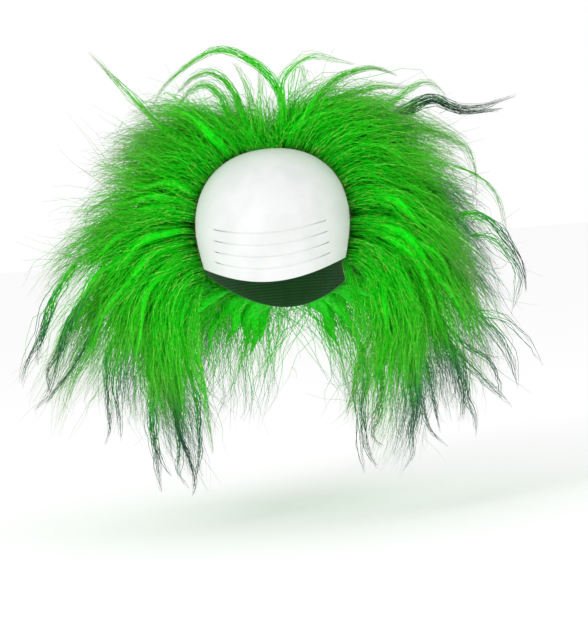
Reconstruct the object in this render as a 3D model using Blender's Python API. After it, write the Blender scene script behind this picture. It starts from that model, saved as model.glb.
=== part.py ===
"""A clown wig: a white moulded latex bald front, sewn to a knitted cap that
carries five wefts of long teased green hair. Metres, +Z up, the face looks
along -Y, and the origin is where the top of the head touches the crown."""

import math
import random
from dataclasses import dataclass

import bmesh
import bpy
from mathutils import Vector

# Head room: the hollow that the wearer's head fills
HEAD_WIDTH = 0.156
HEAD_LENGTH = 0.200
CROWN_HEIGHT = 0.085
CROWN_SQUARENESS = 2.3
NECK_TAPER = 0.05

# Rim depths below the crown
BROW_DEPTH = 0.117
EAR_DEPTH = 0.100
NAPE_DEPTH = 0.150

# Walls and the gaps between pieces
CAP_WALL = 0.0015
LATEX_WALL = 0.0015
PIECE_GAP = 0.0005

# Hairline: the plane where the latex front ends and the hair begins
HAIRLINE_SETBACK = -0.023
HAIRLINE_LEAN = 0.38
SEWN_LAP = 0.012

# Forehead wrinkles moulded in the latex
WRINKLE_COUNT = 4
WRINKLE_PITCH = 0.0105
WRINKLE_ABOVE_BROW = 0.0115
WRINKLE_DEPTH = 0.0009
WRINKLE_WIDTH = 0.0030
WRINKLE_HALF_SPAN = 0.052

# Hair
MAT_DEPTH = 0.008
LOCK_WIDTH = 0.027
LOCK_TIP = 0.0014
HAIR_REACH = 0.280
FORWARD_REACH = 0.060
CROWN_LENGTH = 0.160
NAPE_LENGTH = 0.185
WEFT_SETBACK = 0.040
LOCK_SIDES = 4
HEAD_COLUMNS = 32
CAP_RINGS = 10
SEED = 7

# Planes between the wefts, as (y where z is 0 as a share of HEAD_LENGTH, change of
# y with z), and for the nape (z at the back split as such a share, change with y)
FRONT_SPLIT = (0.06, 0.14)
SECOND_SPLIT = (0.20, 0.07)
BACK_SPLIT = (0.33, 0.0)
NAPE_SPLIT = (-0.36, -0.35)
SPLIT_EXTENT = 0.6

GREEN = (0.02, 0.52, 0.02, 1.0)
WHITE = (0.87, 0.90, 0.88, 1.0)
KNIT_GREEN = (0.02, 0.16, 0.03, 1.0)


@dataclass
class Lock:
    """One lock of the front weft, seen from the front. Bearings are degrees
    clockwise from straight up round the middle of the bald front. setback is
    a share of WEFT_SETBACK, reach of HAIR_REACH, forward of FORWARD_REACH,
    bow of the lock's own length and width of LOCK_WIDTH."""

    root_bearing: float
    setback: float
    tip_bearing: float
    reach: float
    forward: float
    bow: float
    width: float


# Wearer's right, from beside the cheek up to the crown, and down again on the
# wearer's left: root_bearing, setback, tip_bearing, reach, forward, bow, width
FRONT_LOCKS = [
    Lock(-119, 0.20, -160, 0.75, 0.80, 0.05, 0.35),
    Lock(-116, 0.15, -158, 0.84, 0.97, 0.10, 0.80),
    Lock(-112, 0.60, -153, 0.89, 0.83, 0.22, 1.00),
    Lock(-107, 0.15, -147, 0.85, 0.97, 0.22, 1.00),
    Lock(-103, 0.60, -139, 0.84, 0.53, 0.16, 0.90),
    Lock(-99, 0.15, -136, 0.91, 0.67, 0.14, 0.90),
    Lock(-95, 0.30, -125, 0.80, 0.60, 0.12, 0.90),
    Lock(-91, 0.15, -125, 1.03, 0.37, 0.16, 0.90),
    Lock(-87, 0.60, -117, 1.01, 0.07, 0.16, 0.90),
    Lock(-82, 0.15, -101, 0.84, 0.40, 0.10, 0.90),
    Lock(-77, 0.60, -94, 0.79, 0.07, 0.12, 1.00),
    Lock(-71, 0.15, -86, 0.71, 0.37, 0.10, 0.90),
    Lock(-65, 0.60, -79, 0.64, 0.03, 0.14, 0.90),
    Lock(-59, 0.15, -70, 0.70, 0.33, 0.10, 0.90),
    Lock(-51, 0.60, -61, 0.71, 0.03, 0.12, 0.90),
    Lock(-42, 0.20, -41, 0.85, 0.27, -0.10, 0.50),
    Lock(-33, 0.60, -54, 0.64, 0.00, 0.34, 1.00),
    Lock(-24, 0.15, -45, 0.62, 0.13, 0.42, 0.90),
    Lock(-15, 0.60, -37, 0.56, 0.00, 0.55, 0.50),
    Lock(-6, 0.20, -41, 0.57, 0.17, 0.66, 0.40),
    Lock(2, 0.60, -41, 0.55, 0.00, 0.80, 0.40),
    Lock(4, 0.15, -5, 0.57, 0.10, 0.10, 0.35),
    Lock(9, 0.60, 30, 0.59, 0.00, 0.42, 0.35),
    Lock(15, 0.15, 44, 0.65, 0.20, 0.34, 0.40),
    Lock(22, 0.60, 60, 0.69, 0.00, 0.34, 1.00),
    Lock(29, 0.15, 65, 0.90, 0.30, 0.16, 0.60),
    Lock(36, 0.60, 73, 0.69, 0.00, 0.24, 1.00),
    Lock(44, 0.15, 85, 0.66, 0.37, 0.26, 1.00),
    Lock(52, 0.60, 88, 0.74, 0.03, 0.12, 0.80),
    Lock(59, 0.15, 97, 0.76, 0.33, 0.14, 1.00),
    Lock(66, 0.60, 110, 0.85, 0.03, 0.26, 0.60),
    Lock(73, 0.15, 111, 0.77, 0.43, 0.16, 1.00),
    Lock(80, 0.60, 121, 0.97, 0.03, 0.18, 0.50),
    Lock(86, 0.15, 128, 0.95, 0.40, 0.16, 0.80),
    Lock(91, 0.60, 132, 0.97, 0.30, 0.16, 0.80),
    Lock(96, 0.15, 140, 0.91, 0.63, 0.14, 0.90),
    Lock(101, 0.60, 146, 0.89, 0.57, 0.14, 0.90),
    Lock(106, 0.15, 154, 0.86, 0.90, 0.16, 1.00),
    Lock(110, 0.60, 159, 0.85, 0.80, 0.18, 1.00),
    Lock(114, 0.20, 162, 0.81, 1.00, 0.16, 0.90),
    Lock(118, 0.20, 164, 0.65, 0.93, 0.10, 0.40),
]

# How far the inner wefts reach at each tip bearing: bearing, share of HAIR_REACH
OUTLINE = [
    (-165, 0.80),
    (-125, 0.94),
    (-90, 0.76),
    (-60, 0.68),
    (-30, 0.55),
    (0, 0.44),
    (30, 0.52),
    (60, 0.68),
    (90, 0.70),
    (125, 0.90),
    (165, 0.80),
]


@dataclass
class LockBuild:
    """How a weft's locks are made: the direction that they are thin in, their
    thickness there as a share of their width, and their count of sections."""

    across: tuple
    thickness: float
    stations: int


FRONT_BUILD = LockBuild((0, 1, 0), 0.65, 6)
INNER_BUILD = LockBuild((0, 1, 0), 1.00, 5)
BACK_BUILD = LockBuild((1, 0, 0), 1.00, 5)


@dataclass
class InnerWeft:
    """A weft behind the front one: where its roots lie, how many locks it has,
    how far they reach as a share of OUTLINE and where their tips lie in y."""

    name: str
    root_plane: tuple
    tip_plane: tuple
    last_root: float
    count: int
    reach: float


INNER_WEFTS = [
    InnerWeft("hair_second_weft", (0.13, 0.11), (0.10, 0.10), 121, 17, 0.95),
    InnerWeft("hair_third_weft", (0.265, 0.04), (0.26, 0.04), 124, 15, 0.90),
]


@dataclass
class BackRow:
    """A row of locks on the back of the cap: the y of its roots as a share of
    HEAD_LENGTH, the bearings of its first and last root, its count, its length
    as a share of the weft's, how far it spreads sideways and how it falls."""

    root_y: float
    first: float
    last: float
    count: int
    length: float
    spread: float
    fall: float


CROWN_ROWS = [
    BackRow(0.37, -86, 86, 9, 1.00, 1.40, 0.50),
    BackRow(0.44, -72, 72, 5, 1.08, 1.20, 0.50),
    BackRow(0.49, -30, 30, 2, 1.10, 1.00, 0.45),
]
NAPE_ROWS = [
    BackRow(0.37, 116, 244, 7, 1.00, 1.00, 1.10),
    BackRow(0.445, 126, 234, 4, 1.08, 1.00, 0.95),
    BackRow(0.49, 160, 200, 2, 1.05, 1.20, 0.80),
]


def head_sizes(offset):
    """Half width, half length and crown height of the head form grown by offset."""
    return HEAD_WIDTH / 2 + offset, HEAD_LENGTH / 2 + offset, CROWN_HEIGHT + offset


def rim_depth(azimuth):
    """Depth of the rim below the crown, at an azimuth from the face towards +X."""
    middle = (BROW_DEPTH + NAPE_DEPTH + 2 * EAR_DEPTH) / 4
    sway = (BROW_DEPTH - NAPE_DEPTH) / 2
    dip = (BROW_DEPTH + NAPE_DEPTH - 2 * EAR_DEPTH) / 4
    return middle + sway * math.cos(azimuth) + dip * math.cos(2 * azimuth)


def girth(depth, crown):
    """How wide the head form is at a depth below its top, as a share."""
    if depth >= crown:
        return 1 - NECK_TAPER * ((depth - crown) / crown) ** 2
    rise = max(0.0, 1 - depth / crown)
    return max(0.0, 1 - rise**CROWN_SQUARENESS) ** (1 / CROWN_SQUARENESS)


def head_point(azimuth, depth, offset):
    """A point of the head form grown by offset, at a depth below the inner crown."""
    half_width, half_length, crown = head_sizes(offset)
    grown = depth * crown / CROWN_HEIGHT if depth < CROWN_HEIGHT else depth + offset
    share = girth(grown, crown)
    x = half_width * share * math.sin(azimuth)
    y = -half_length * share * math.cos(azimuth)
    return Vector((x, y, offset - grown))


def head_normal(point):
    """The outward direction of the head form near a point."""
    half_width, half_length, crown = head_sizes(0)
    above = max(point.z + crown, 0.0)
    slope = Vector((point.x / half_width**2, point.y / half_length**2, above / crown**2))
    return slope.normalized()


def middle_height():
    """The z of the middle of the bald front, which bearings turn about."""
    return -0.64 * BROW_DEPTH


def hairline_y(z):
    return HAIRLINE_SETBACK + HAIRLINE_LEAN * z


def plane_y(plane, z):
    """The y at height z of a plane given by a share of HEAD_LENGTH and a slope."""
    return plane[0] * HEAD_LENGTH + plane[1] * z


def root_point(bearing, offset, y_at):
    """Where a bearing meets the head form grown by offset, on the surface y_at(z)."""
    half_width, half_length, crown = head_sizes(offset)
    turn = math.radians(bearing)
    low, high = 0.0, HEAD_LENGTH
    for _ in range(40):
        reach = (low + high) / 2
        x = reach * math.sin(turn)
        z = middle_height() + reach * math.cos(turn)
        share = girth(offset - z, crown) if z < offset else 0.0
        y = y_at(z)
        inside = share > 0 and math.hypot(x / half_width, y / half_length) < share
        low, high = (reach, high) if inside else (low, reach)
    return Vector((x, y, z))


def add_object(name, mesh, colour, roughness):
    """Links a mesh as one named object with its own plain material."""
    obj = bpy.data.objects.new(name, mesh)
    bpy.context.scene.collection.objects.link(obj)
    material = bpy.data.materials.new(name)
    material.use_nodes = True
    shader = material.node_tree.nodes["Principled BSDF"]
    shader.inputs["Base Color"].default_value = colour
    shader.inputs["Roughness"].default_value = roughness
    shader.inputs["Metallic"].default_value = 0.0
    mesh.materials.clear()
    mesh.materials.append(material)
    return obj


def head_surface(offset, depths, carve=None):
    """An open surface on the head form: rings at shares of the rim depth."""
    columns = HEAD_COLUMNS
    bm = bmesh.new()
    crown = bm.verts.new(head_point(0, 0, offset))
    rings = []
    for share in depths:
        ring = []
        for column in range(columns):
            azimuth = 2 * math.pi * column / columns
            depth = share * rim_depth(azimuth)
            sunk = carve(azimuth, depth) if carve else 0.0
            ring.append(bm.verts.new(head_point(azimuth, depth, offset - sunk)))
        rings.append(ring)
    for column in range(columns):
        after = (column + 1) % columns
        bm.faces.new((crown, rings[0][column], rings[0][after]))
        for upper, lower in zip(rings, rings[1:]):
            bm.faces.new((upper[column], lower[column], lower[after], upper[after]))
    bmesh.ops.recalc_face_normals(bm, faces=bm.faces)
    return bm


def cut_at_hairline(bm, shift, keep_front):
    """Cuts a head surface at the hairline moved back by shift, and keeps one side."""
    normal = Vector((0, 1, -HAIRLINE_LEAN))
    bmesh.ops.bisect_plane(
        bm,
        geom=bm.verts[:] + bm.edges[:] + bm.faces[:],
        dist=1e-6,
        plane_co=(0, HAIRLINE_SETBACK + shift, 0),
        plane_no=normal,
        clear_outer=keep_front,
        clear_inner=not keep_front,
    )


def mesh_of(bm, name):
    mesh = bpy.data.meshes.new(name)
    bm.to_mesh(mesh)
    bm.free()
    return mesh


def thicken(obj, wall):
    """Gives an open surface its wall, grown outwards."""
    solidify = obj.modifiers.new("Wall", "SOLIDIFY")
    solidify.thickness = wall
    solidify.offset = 1.0
    solidify.use_even_offset = True


def wrinkle_shares():
    """Shares of the rim depth at which the wrinkles lie in the middle of the brow."""
    return [
        (BROW_DEPTH - WRINKLE_ABOVE_BROW - index * WRINKLE_PITCH) / BROW_DEPTH
        for index in reversed(range(WRINKLE_COUNT))
    ]


def wrinkle_carve(azimuth, depth):
    """How deep the latex is pressed in: a groove at each wrinkle, a roll between."""
    across = HEAD_WIDTH / 2 * math.sin(azimuth)
    if math.cos(azimuth) < 0 or abs(across) > WRINKLE_HALF_SPAN:
        return 0.0
    fade = math.cos(math.pi / 2 * across / WRINKLE_HALF_SPAN) ** 0.5
    pressed = 0.0
    for share in wrinkle_shares():
        away = abs(depth - share * rim_depth(azimuth)) / WRINKLE_WIDTH
        if away < 1:
            pressed += WRINKLE_DEPTH * math.cos(math.pi * away)
    return pressed * fade


def cap_depths():
    """Ring depths of the cap and of the root mats on it, closer together on top."""
    turns = [math.pi / 2 * ring / CAP_RINGS for ring in range(1, CAP_RINGS + 1)]
    return [1 - math.cos(turn) for turn in turns]


def forehead_depths():
    """Ring depths of the latex: the cap's down to the wrinkles, then three to each."""
    step = WRINKLE_WIDTH / BROW_DEPTH
    depths = [depth for depth in cap_depths() if depth < wrinkle_shares()[0] - 2 * step]
    for share in wrinkle_shares():
        depths += [share - step, share, share + step]
    return depths + [1.0]


def build_latex_front():
    bm = head_surface(CAP_WALL + PIECE_GAP, forehead_depths(), wrinkle_carve)
    cut_at_hairline(bm, 0.0, keep_front=True)
    latex = add_object("latex_front", mesh_of(bm, "latex_front"), WHITE, 0.45)
    thicken(latex, LATEX_WALL)


def build_wig_cap():
    bm = head_surface(0.0, cap_depths())
    cut_at_hairline(bm, -SEWN_LAP, keep_front=False)
    cap = add_object("wig_cap", mesh_of(bm, "wig_cap"), KNIT_GREEN, 0.9)
    thicken(cap, CAP_WALL)


def mat_offset():
    return CAP_WALL + PIECE_GAP


def bezier(points, share):
    """A point on a curve with four control points."""
    left = 1 - share
    weights = (left**3, 3 * left**2 * share, 3 * left * share**2, share**3)
    return sum((point * weight for point, weight in zip(points, weights)), Vector())


def lock_path(root, tip, lift, bow):
    """A lock's four control points: it leaves square to the head and bows upwards."""
    chord = tip - root
    side = Vector((-chord.z, 0, chord.x)).normalized()
    outwards = 0.3 if root.x > 0 else -0.3
    if side.z + outwards * side.x < 0:
        side = -side
    leave = root + head_normal(root) * lift * chord.length
    arrive = root + chord * 0.62 + side * bow * chord.length
    return root, leave, arrive, tip


def add_lock(bm, path, width, build):
    """A closed tapering tube along a path, as thick in build.across as it says."""
    rings = []
    for station in range(build.stations):
        share = station / build.stations
        centre = bezier(path, share)
        ahead = (bezier(path, share + 0.03) - centre).normalized()
        side = ahead.cross(Vector(build.across)).normalized()
        flat = side.cross(ahead).normalized()
        swell = (0.74 + 0.9 * share) * (1 - share**2) ** 0.75
        half = max(width / 2 * swell, LOCK_TIP)
        ring = []
        for corner in range(LOCK_SIDES):
            turn = 2 * math.pi * corner / LOCK_SIDES
            spread = side * math.cos(turn) + flat * math.sin(turn) * build.thickness
            ring.append(bm.verts.new(centre + spread * half))
        rings.append(ring)
    point = bm.verts.new(path[3])
    faces = [bm.faces.new(rings[0])]
    for corner in range(LOCK_SIDES):
        after = (corner + 1) % LOCK_SIDES
        faces.append(bm.faces.new((rings[-1][corner], rings[-1][after], point)))
        for lower, upper in zip(rings, rings[1:]):
            corners = (lower[corner], lower[after], upper[after], upper[corner])
            faces.append(bm.faces.new(corners))
    bmesh.ops.recalc_face_normals(bm, faces=faces)


def outline_at(bearing):
    """The reach share of the inner wefts at a tip bearing."""
    for (before, low), (after, high) in zip(OUTLINE, OUTLINE[1:]):
        if bearing <= after:
            return low + (high - low) * (bearing - before) / (after - before)
    return OUTLINE[-1][1]


def tip_point(bearing, reach, y):
    turn = math.radians(bearing)
    height = middle_height() + HAIR_REACH * reach * math.cos(turn)
    return Vector((HAIR_REACH * reach * math.sin(turn), y, height))


def front_paths():
    """Path and width of each lock of the front weft."""
    for lock in FRONT_LOCKS:
        setback = lock.setback * WEFT_SETBACK
        root = root_point(
            lock.root_bearing,
            mat_offset() + MAT_DEPTH / 2,
            lambda z: hairline_y(z) + setback,
        )
        tip = tip_point(lock.tip_bearing, lock.reach, -lock.forward * FORWARD_REACH)
        tip.y = min(tip.y, plane_y(FRONT_SPLIT, tip.z) - LOCK_WIDTH / 3)
        yield lock_path(root, tip, 0.32, lock.bow), lock.width * LOCK_WIDTH


def inner_paths(weft, rng):
    """Path and width of each lock of a weft behind the front one."""
    for index in range(weft.count):
        bearing = weft.last_root * (2 * index / (weft.count - 1) - 1)
        root = root_point(
            bearing, mat_offset() + MAT_DEPTH / 2, lambda z: plane_y(weft.root_plane, z)
        )
        aim = bearing * 1.30 + rng.uniform(-4, 4)
        reach = outline_at(aim) * weft.reach * rng.uniform(0.90, 1.04)
        tip = tip_point(aim, reach, 0.0)
        tip.y = plane_y(weft.tip_plane, tip.z)
        bow = 0.16 + 0.22 * math.cos(math.radians(bearing)) ** 2
        yield lock_path(root, tip, 0.34, bow), LOCK_WIDTH * rng.uniform(0.95, 1.15)


def back_paths(rows, full_length, rng):
    """Path and width of each lock on the back of the cap."""
    for row in rows:
        for index in range(row.count):
            share = index / (row.count - 1)
            bearing = row.first + (row.last - row.first) * share
            root_y = row.root_y * HEAD_LENGTH
            root = root_point(bearing, mat_offset() + MAT_DEPTH / 2, lambda z: root_y)
            normal = head_normal(root)
            aim = Vector((normal.x * row.spread, normal.y, normal.z - row.fall))
            length = full_length * row.length * rng.uniform(0.92, 1.06)
            chord = aim.normalized() * length
            leave = root + normal * 0.36 * length
            arrive = root + chord * 0.66 + Vector((0, 0, 0.12 * length))
            width = LOCK_WIDTH * rng.uniform(1.20, 1.45)
            yield (root, leave, arrive, root + chord), width


def add_mat(bm):
    """The thick root mat that a weft's locks are fused to, as a closed shell."""
    surface = head_surface(mat_offset(), cap_depths())
    cut_at_hairline(surface, PIECE_GAP, keep_front=False)
    geometry = surface.verts[:] + surface.edges[:] + surface.faces[:]
    bmesh.ops.solidify(surface, geom=geometry, thickness=-MAT_DEPTH)
    bmesh.ops.recalc_face_normals(surface, faces=surface.faces)
    shell = mesh_of(surface, "root_mat")
    bm.from_mesh(shell)
    bpy.data.meshes.remove(shell)


def helper(name, mesh):
    """A cutter: it is never part of the wig."""
    obj = bpy.data.objects.new(name, mesh)
    bpy.context.scene.collection.objects.link(obj)
    obj.hide_render = True
    obj.display_type = "WIRE"
    return obj


def block(corner_of, name):
    """A big six-sided cutter whose corners corner_of works out from signs."""
    bm = bmesh.new()
    bmesh.ops.create_cube(bm, size=2.0)
    for vert in bm.verts:
        vert.co = corner_of(vert.co.x, vert.co.y, vert.co.z)
    bmesh.ops.recalc_face_normals(bm, faces=bm.faces)
    return helper(name, mesh_of(bm, name))


def slab(front, back, name):
    """The space between two split planes, less half a gap at each."""

    def corner(x, y, z):
        height = z * SPLIT_EXTENT
        if y < 0:
            edge = -SPLIT_EXTENT if front is None else plane_y(front, height) + PIECE_GAP / 2
        else:
            edge = SPLIT_EXTENT if back is None else plane_y(back, height) - PIECE_GAP / 2
        return Vector((x * SPLIT_EXTENT, edge, height))

    return block(corner, name)


def back_slab(above, name):
    """The space behind the last split plane, above or below the nape split."""

    def corner(x, y, z):
        front = plane_y(BACK_SPLIT, 0)
        depth = front + PIECE_GAP / 2 if y < 0 else SPLIT_EXTENT
        split = NAPE_SPLIT[0] * HEAD_LENGTH + NAPE_SPLIT[1] * (depth - front)
        near = split + PIECE_GAP / 2 if above else split - PIECE_GAP / 2
        far = SPLIT_EXTENT if above else -SPLIT_EXTENT
        height = near if (z < 0) == above else far
        return Vector((x * SPLIT_EXTENT, depth, height))

    return block(corner, name)


def keep_largest(mesh):
    """Deletes the slivers and pockets that aren't joined to the weft by an edge."""
    bm = bmesh.new()
    bm.from_mesh(mesh)
    bmesh.ops.triangulate(bm, faces=bm.faces)
    left = set(bm.faces)
    groups = []
    while left:
        stack = [left.pop()]
        group = list(stack)
        while stack:
            for edge in stack.pop().edges:
                for face in edge.link_faces if len(edge.link_faces) == 2 else ():
                    if face in left:
                        left.discard(face)
                        group.append(face)
                        stack.append(face)
        groups.append(group)
    largest = max(groups, key=len)
    loose = [face for group in groups if group is not largest for face in group]
    bmesh.ops.delete(bm, geom=loose, context="FACES")
    bm.to_mesh(mesh)
    bm.free()


def build_weft(name, paths, build, cutter):
    """Fuses locks and root mat into one solid inside the weft's own space."""
    bm = bmesh.new()
    add_mat(bm)
    for path, width in paths:
        add_lock(bm, path, width, build)
    raw = helper(name + "_raw", mesh_of(bm, name))
    fuse = raw.modifiers.new("Fuse", "BOOLEAN")
    fuse.operation = "INTERSECT"
    fuse.solver = "EXACT"
    fuse.use_self = True
    fuse.object = cutter
    graph = bpy.context.evaluated_depsgraph_get()
    mesh = bpy.data.meshes.new_from_object(raw.evaluated_get(graph))
    bpy.data.objects.remove(raw)
    bpy.data.objects.remove(cutter)
    keep_largest(mesh)
    add_object(name, mesh, GREEN, 0.55)


def build_hair():
    rng = random.Random(SEED)
    cutter = slab(None, FRONT_SPLIT, "front")
    build_weft("hair_front_weft", front_paths(), FRONT_BUILD, cutter)
    splits = [(FRONT_SPLIT, SECOND_SPLIT), (SECOND_SPLIT, BACK_SPLIT)]
    for weft, (front, back) in zip(INNER_WEFTS, splits):
        cutter = slab(front, back, "inner")
        build_weft(weft.name, inner_paths(weft, rng), INNER_BUILD, cutter)
    cutter = back_slab(True, "crown")
    build_weft("hair_crown_weft", back_paths(CROWN_ROWS, CROWN_LENGTH, rng), BACK_BUILD, cutter)
    cutter = back_slab(False, "nape")
    build_weft("hair_nape_weft", back_paths(NAPE_ROWS, NAPE_LENGTH, rng), BACK_BUILD, cutter)


def main():
    for obj in list(bpy.data.objects):
        bpy.data.objects.remove(obj)
    build_latex_front()
    build_wig_cap()
    build_hair()


main()
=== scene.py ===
"""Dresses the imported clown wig: a smooth latex bald front, a knitted cap and long
frizzy green hair with sooty tips, on a plain pale floor."""

import logging
import math
from collections.abc import Sequence
from dataclasses import dataclass, field, replace
from enum import Enum

import bmesh
import bpy
import numpy as np
from mathutils import Matrix, Vector
from numpy.typing import NDArray


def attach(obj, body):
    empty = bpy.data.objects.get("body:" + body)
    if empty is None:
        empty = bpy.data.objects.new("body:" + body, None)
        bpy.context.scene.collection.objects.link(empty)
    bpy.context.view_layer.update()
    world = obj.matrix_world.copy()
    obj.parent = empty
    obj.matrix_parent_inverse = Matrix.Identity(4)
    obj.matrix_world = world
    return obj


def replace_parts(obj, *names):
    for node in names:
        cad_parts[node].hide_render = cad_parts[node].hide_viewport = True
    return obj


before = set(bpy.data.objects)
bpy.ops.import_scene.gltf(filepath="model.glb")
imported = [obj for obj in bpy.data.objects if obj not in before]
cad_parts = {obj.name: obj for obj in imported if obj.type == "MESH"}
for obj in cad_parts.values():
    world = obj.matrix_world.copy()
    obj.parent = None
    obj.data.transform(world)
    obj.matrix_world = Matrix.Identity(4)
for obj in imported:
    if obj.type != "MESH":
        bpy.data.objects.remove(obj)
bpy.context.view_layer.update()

Array = NDArray[np.float64]
Colour = tuple[float, float, float, float]
Span = tuple[float, float]
Node = bpy.types.Node
Socket = bpy.types.NodeSocket

logger = logging.getLogger("clown_wig")

SEED = 11
STRAND_MAP = "OFBake"
TINY = 1e-6
QUARTER_TURN = math.pi / 2


# Shape of the head room


@dataclass(frozen=True)
class HeadForm:
    """The inner form of the wig, and where a hair root lies on it. Behind back_from,
    roots are held above the rim by rim_rise."""

    half_width: float = 0.078
    half_length: float = 0.100
    crown: float = 0.085
    squareness: float = 2.3
    taper: float = 0.05
    brow_depth: float = 0.117
    ear_depth: float = 0.100
    nape_depth: float = 0.150
    hairline_setback: float = -0.023
    hairline_lean: float = 0.38
    middle_share: float = 0.64
    back_from: float = 0.05
    rim_rise: float = 0.008
    search_steps: int = 30

    @property
    def middle(self) -> float:
        """The z of the middle of the bald front, which bearings turn about."""
        return -self.middle_share * self.brow_depth

    def rim_depth(self, azimuth: float) -> float:
        """Gives the depth of the rim below the crown.

        Args:
            azimuth: Angle from the face towards the wearer's left, in radians.

        Returns:
            The depth in metres.
        """
        mean = (self.brow_depth + self.nape_depth + 2 * self.ear_depth) / 4
        sway = (self.brow_depth - self.nape_depth) / 2
        dip = (self.brow_depth + self.nape_depth - 2 * self.ear_depth) / 4
        return mean + sway * math.cos(azimuth) + dip * math.cos(2 * azimuth)

    def girth(self, depth: Array, crown: float) -> Array:
        """Gives how wide the form is at a depth below its top.

        Args:
            depth: Depths in metres.
            crown: Height of the crown above the widest level.

        Returns:
            Shares of the full width, 0 above the top.
        """
        rise = np.clip(1 - depth / crown, 0, 1)
        upper = np.clip(1 - rise**self.squareness, 0, None) ** (1 / self.squareness)
        lower = 1 - self.taper * ((depth - crown) / crown) ** 2
        return np.where(depth <= 0, 0.0, np.where(depth >= crown, lower, upper))

    def across(self, x: Array, y: Array, offset: float) -> Array:
        """Gives how far out places lie, as shares of the grown form's full width."""
        return np.hypot(x / (self.half_width + offset), y / (self.half_length + offset))

    def point(self, azimuth: float, depth: float, offset: float) -> Vector:
        """Gives a point of the form grown outwards.

        Args:
            azimuth: Angle from the face towards the wearer's left, in radians.
            depth: Depth below the inner crown.
            offset: How far the form is grown.

        Returns:
            The point in the part's frame.
        """
        crown = self.crown + offset
        grown = depth * crown / self.crown if depth < self.crown else depth + offset
        share = float(self.girth(np.array(grown), crown))
        x = (self.half_width + offset) * share * math.sin(azimuth)
        y = -(self.half_length + offset) * share * math.cos(azimuth)
        return Vector((x, y, offset - grown))

    def outward(self, points: Array) -> Array:
        """Gives the outward directions of the form.

        Args:
            points: Points near the form as rows.

        Returns:
            A direction of length 1 for each.
        """
        above = np.clip(points[:, 2] + self.crown, 0, None) / self.crown**2
        across = points[:, 0] / self.half_width**2, points[:, 1] / self.half_length**2
        return unit(np.stack((*across, above), axis=1))

    def roots(self, bearing: Array, y_at_zero: Array, slope: Array, offset: float) -> Array:
        """Finds where bearings meet the form on leaning planes.

        Args:
            bearing: Degrees clockwise from straight up, seen from the front.
            y_at_zero: Each plane's y where z is 0.
            slope: Each plane's change of y with z.
            offset: How far the form is grown.

        Returns:
            The roots as rows of x, y and z.
        """
        turn = np.radians(bearing)
        low = np.zeros_like(turn)
        high = np.full_like(turn, 2 * self.half_length)
        for _ in range(self.search_steps):
            reach = (low + high) / 2
            x, z = reach * np.sin(turn), self.middle + reach * np.cos(turn)
            y = y_at_zero + slope * z
            inside = self.across(x, y, offset) < self.girth(offset - z, self.crown + offset)
            low = np.where(inside, reach, low)
            high = np.where(inside, high, reach)
        reach = (low + high) / 2
        x, z = reach * np.sin(turn), self.middle + reach * np.cos(turn)
        y = y_at_zero + slope * z
        rim = self.rim_rise - np.array([self.rim_depth(azimuth) for azimuth in np.arctan2(x, -y)])
        raised = (y > self.back_from) & (z < rim)
        z = np.where(raised, rim, z)
        share = self.girth(offset - z, self.crown + offset)
        fit = np.where(raised, share / self.across(x, y, offset), 1)
        return np.stack((x * fit, y * fit, z), axis=1)


@dataclass(frozen=True)
class View:
    """The photograph's view: where the camera stands, what it aims at and how much
    it frames there."""

    azimuth: float = 4.0
    elevation: float = 3.0
    roll: float = 5.0
    distance: float = 2.2
    target: tuple[float, float, float] = (0.0084, 0.0, -0.1594)
    frame_height: float = 0.598
    pixels: tuple[int, int] = (588, 643)

    @property
    def matrix(self) -> Matrix:
        """The camera's place and turn.

        Returns:
            The matrix that takes the camera's own frame to the part's.
        """
        turn, rise = math.radians(self.azimuth), math.radians(self.elevation)
        back = Vector((math.sin(turn) * math.cos(rise), -math.cos(turn) * math.cos(rise), math.sin(rise)))
        level = back.to_track_quat("Z", "Y").to_matrix().to_4x4()
        tilt = Matrix.Rotation(math.radians(-self.roll), 4, "Z")
        return Matrix.Translation(Vector(self.target) + back * self.distance) @ level @ tilt

    def place(self, pixel: tuple[int, int], y: float) -> Span:
        """Finds where a pixel of the photograph lies on a frontal plane.

        Args:
            pixel: How far it is across and down.
            y: The plane's y in metres.

        Returns:
            The x and z in metres.
        """
        width, height = self.pixels
        scale = self.frame_height / height
        camera = self.matrix
        across, up = (pixel[0] - width / 2) * scale, (height / 2 - pixel[1]) * scale
        eye, seen = camera.translation, camera @ Vector((across, up, -self.distance))
        spot = eye + (seen - eye) * ((y - eye.y) / (seen.y - eye.y))
        return spot.x, spot.z


def unit(vectors: Array) -> Array:
    """Scales vectors to length 1 along their last axis."""
    return vectors / np.maximum(np.linalg.norm(vectors, axis=-1, keepdims=True), 1e-9)


def column(rows: Sequence[object], name: str, key: str, where: Array) -> Array:
    """Reads one column of a table, also between its rows.

    Args:
        rows: The table, in rising order of its key column.
        name: The column that is read.
        key: The column that places are given in.
        where: The places.

    Returns:
        The column's values there.
    """
    return np.interp(where, [getattr(row, key) for row in rows], [getattr(row, name) for row in rows])


# Shader building


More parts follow.
